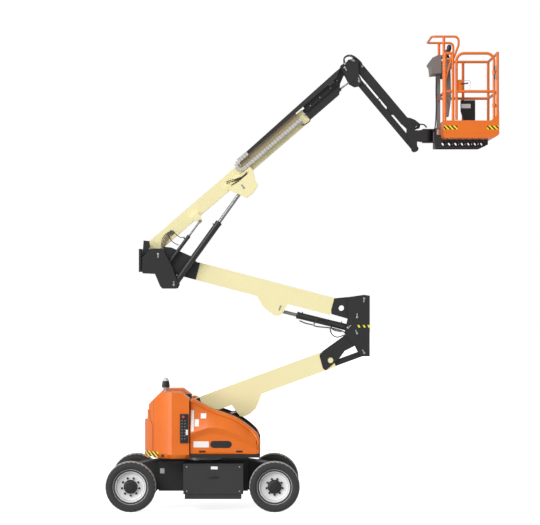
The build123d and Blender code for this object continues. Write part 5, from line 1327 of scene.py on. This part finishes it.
# %% [markdown]
# The beacon's black body is a cone and a cup under the clear cap. It is one profile,
# with heights from the cap's top.
# %% Beacon cup
BEACON_CUP = [(0.012, -0.172), (0.022, -0.17), (0.056, -0.136), (0.057, -0.12)]
BEACON_CUP += [(0.048, -0.052), (0.04, -0.046)]
beacon_low, beacon_high = box_of("beacon")
beacon_at = [*(beacon_low + beacon_high)[:2] / 2, beacon_high[2]]
cup = [turned(BEACON_CUP, beacon_at, UP, 40)]
piece("beacon_cup", cup, "black_plastic", "turntable")
print("beacon top", np.round(beacon_at, 3).tolist())

# %% [markdown]
# The platform is a cage of bent tube on a sheet floor. Its tread is a row of raised
# bars, and the sheet lies in a deep folded pan with rounded lower edges, whose lip goes
# up round the sheet's edge on the outside.
# %% Platform floor
BAR_PITCH = 0.03
BAR_HALF = 0.003
PAN_DEPTH = 0.068
PAN_EDGE = 0.0012
PAN_GAP = 0.0002
floor_low, floor_high = box_of("platform_floor")
bar_count = int((floor_high[1] - floor_low[1] - 0.06) / BAR_PITCH)
bars = []
for y in np.linspace(floor_low[1] + 0.03, floor_high[1] - 0.03, bar_count + 1):
    bar_low = (floor_low[0] + 0.012, y - BAR_HALF, floor_high[2] - 0.001)
    bars.append(brick(bar_low, (floor_high[0] - 0.012, y + BAR_HALF, floor_high[2] + 0.003)))
piece("floor_tread", bars, "floor_steel", "platform", smooth=False)
pan_left, pan_right = floor_low[0] - PAN_EDGE, floor_high[0] + PAN_EDGE
pan_top, pan_foot = floor_low[2] - 0.0005, floor_low[2] - PAN_DEPTH
pan_outline = [
    (pan_left, pan_top), (pan_left, pan_foot + 0.034), (pan_left + 0.01, pan_foot + 0.013),
    (pan_left + 0.034, pan_foot), (pan_right - 0.11, pan_foot),
    (pan_right - 0.045, pan_foot + 0.016), (pan_right - 0.01, pan_foot + 0.04),
    (pan_right, pan_top),
]
pan_width = floor_high[1] - floor_low[1] + 2 * PAN_EDGE
pan_parts = [side_plate(pan_outline, pan_width, (0, 0, 0))]
lip_low, lip_high = floor_low[2] - 0.002, floor_high[2] + 0.004
for side in SIDES:
    inner_y, outer_y = (side * (floor_high[1] + out) for out in (PAN_GAP, PAN_EDGE))
    pan_parts.append(brick((pan_left, inner_y, lip_low), (pan_right, outer_y, lip_high)))
for inner_x, outer_x in ((floor_low[0] - PAN_GAP, pan_left), (floor_high[0] + PAN_GAP, pan_right)):
    corner_low = (inner_x, floor_low[1], lip_low)
    pan_parts.append(brick(corner_low, (outer_x, floor_high[1], lip_high)))
piece("floor_pan", pan_parts, "orange_paint", "platform", smooth=False, bevel=0.0004)
print("tread bars", len(bars))

# %% [markdown]
# The console is a grey moulded box on a mast. On its sloping top are two levers with
# bellows, a row of toggles and a red stop button, under a guard loop. Three cables leave
# its outer face and run down the mast.
# %% Platform console
toe_low, toe_high = box_of("toe_boards")
console_low, console_high = box_of("platform_console")
TUBE_OFFSET = 0.023
RAIL_LEFT = toe_low[0] + TUBE_OFFSET
RAIL_RIGHT = toe_high[0] - TUBE_OFFSET
RAIL_NEAR = toe_low[1] + TUBE_OFFSET
CONSOLE_NUT = [(0.008, 0), (0.008, 0.004), (0.005, 0.005)]
CONSOLE_TOGGLE = [(0.0025, 0), (0.0035, 0.016), (0.001, 0.018)]
FOLD_IN, FOLD_UP = 0.004, 0.009
deck_x = RAIL_LEFT + 0.045
deck_z = console_high[2] - 0.056
folds = []
for step in range(5):
    folds.append((0.03 - step * FOLD_IN, step * FOLD_UP))
    folds.append((0.024 - step * FOLD_IN, step * FOLD_UP + 0.005))
levers = []
for y, tall in ((-0.2, 0.185), (0.205, 0.15)):
    seat = (deck_x + 0.035, y, deck_z + 0.02)
    grip = [(0.006, 0.04), (0.008, tall - 0.1), (0.026, tall - 0.088)]
    grip += [(0.034, tall - 0.05), (0.03, tall - 0.012), (0.016, tall + 0.006)]
    levers.append(turned(folds, seat, (0.12, 0, 1), 24))
    levers.append(turned(grip, seat, (0.12, 0, 1), 20))
piece("console_levers", levers, "black_plastic", "platform")
console_toggles = []
for y in np.linspace(-0.12, 0.12, 7):
    console_toggles.append(turned(CONSOLE_NUT, (deck_x, y, deck_z), UP, 6))
    console_toggles.append(turned(CONSOLE_TOGGLE, (deck_x, y, deck_z), (0.3, 0, 1), 8))
piece("console_toggles", console_toggles, "bare_steel", "platform")
console_stop = [turned(STOP_BUTTON, (deck_x + 0.015, 0.155, deck_z), UP, 24)]
piece("console_stop", console_stop, "signal_red", "platform")
cables = []
for lane in (-0.06, 0.0, 0.06):
    # Each row: distance outside the rail, share of the lane, height from the console's foot.
    run = [(0.07, 1.0, 0.76), (0.075, 0.8, 0.56), (0.073, 0.6, 0.3)]
    run += [(0.085, 0.6, 0.06), (0.11, 0.8, -0.04)]
    run = [(RAIL_LEFT - out, lane * share, console_low[2] + up) for out, share, up in run]
    cables.append(tube(smooth_path(run), 0.007))
piece("mast_cables", cables, "hose_rubber", "platform")
print("console levers", len(levers) // 2, "cables", len(cables))

# %% [markdown]
# A wire latch, its handle and its bolts belong to the gate and swing with it, and so do
# two small grey reflectors. Red knobs sit on the fixed rails, a folded gusset stands at
# the foot of the right-hand post, striped tape lies on the toe-boards, and the document
# box has a blank label.
# %% Rail fittings
gate_low = box_of("platform_gate")[0]
GATE_LEFT = gate_low[0] + 0.02
MID_RAIL = floor_low[2] + 0.58
LATCH_BOLT = [(0.007, 0.0), (0.007, 0.004), (0.004, 0.006)]


def on_gate(shifts):
    """World points from (along, out, up) shifts: from the gate's left post, rail and mid rail."""
    return [(GATE_LEFT + x, RAIL_NEAR - out, MID_RAIL + z) for x, out, z in shifts]


wire = [(0.075, 0.008, 0.15), (0.185, 0.01, 0.15), (0.19, 0.01, 0.09), (0.188, 0.01, 0.02)]
wire = [tube(smooth_path(on_gate(wire), 8), 0.0025, 8)]
piece("gate_wire", wire, "bare_steel", "platform_gate")
grip = [(0.06, 0.012, 0.108), (0.09, 0.016, 0.106), (0.13, 0.016, 0.11), (0.165, 0.012, 0.118)]
grip = [tube(smooth_path(on_gate(grip), 8), 0.009, 10)]
piece("gate_handle", grip, "black_plastic", "platform_gate")
seats = on_gate([(x, 0.004, z) for x in (0.01, 0.06) for z in (0.03, 0.135)])
latch_bolts = [turned(LATCH_BOLT, seat, (0, -1, 0), 6) for seat in seats]
piece("gate_latch_bolts", latch_bolts, "bare_steel", "platform_gate")
reflectors = []
for z in (MID_RAIL + 0.321, MID_RAIL + 0.202):
    low = (RAIL_RIGHT - 0.053, RAIL_NEAR - 0.0255, z - 0.034)
    reflectors.append(brick(low, (RAIL_RIGHT - 0.029, RAIL_NEAR - 0.0205, z + 0.034)))
piece("rail_reflectors", reflectors, "unit_grey", "platform_gate", smooth=False)
post_foot = gate_low[2] - 0.018
gusset = [(-0.105, 0.0), (-0.006, 0.0), (-0.006, 0.102), (-0.03, 0.06), (-0.062, 0.032)]
gusset = [side_plate(gusset, 0.003, (RAIL_RIGHT, RAIL_NEAR - 0.0232, post_foot))]
piece("post_gusset", gusset, "orange_paint", "platform", smooth=False)
knobs = []
for x, z, r in ((0.002, -0.01, 0.016), (-0.06, -0.08, 0.013)):
    knob = [(r * 0.5, 0.0), (r * 0.5, 0.02), (r, 0.022), (r, 0.034), (r * 0.6, 0.04)]
    knobs.append(turned(knob, (RAIL_LEFT + x, -0.092, MID_RAIL + z), (0, -1, 0), 20))
piece("rail_knobs", knobs, "signal_red", "platform")
toe_sheets = []
for side in SIDES:
    for x, width in ((toe_low[0] + 0.1, 0.19), (toe_high[0] - 0.09, 0.16)):
        outline = rounded(width, 0.055, 0.002)
        toe_sheets.append(label(outline, x, floor_high[2] + 0.066, side * toe_high[1], side))
piece("toe_tape", toe_sheets, "striped_tape", "platform", smooth=False)
pouch_low, pouch_high = box_of("document_box")
pouch_x = (pouch_low[0] + pouch_high[0]) / 2 - 0.03
pouch_label = rounded(0.135, 0.062, 0.004)
pouch_label = [label(pouch_label, pouch_x, pouch_high[2] - 0.085, pouch_low[1], NEAR)]
piece("document_label", pouch_label, "label_white", "platform", smooth=False)
print("gate bolts", len(latch_bolts), "tapes", len(toe_sheets))

# %% [markdown]
# Yellow marks on the mid upright are the last small things. Each one is a slanted bar of
# vinyl, three to a side, above the upright's lower pin.
# %% Upright marks
MARK = [(-0.022, 0.018), (0.006, 0.018), (0.022, -0.018), (-0.006, -0.018)]
mark_x, _, mark_z = pin["mid_upright_pivot"] + [-0.006, 0, 0.102]
mark_y = box_of("mid_upright")[1][1] - 0.006
marks = []
for side in SIDES:
    for place in (0.03, 0.106, 0.174):
        marks.append(label(MARK, mark_x + place, mark_z, side * mark_y, side))
piece("upright_marks", marks, "amber_vinyl", "mid_upright", smooth=False)
print("marks", len(marks))
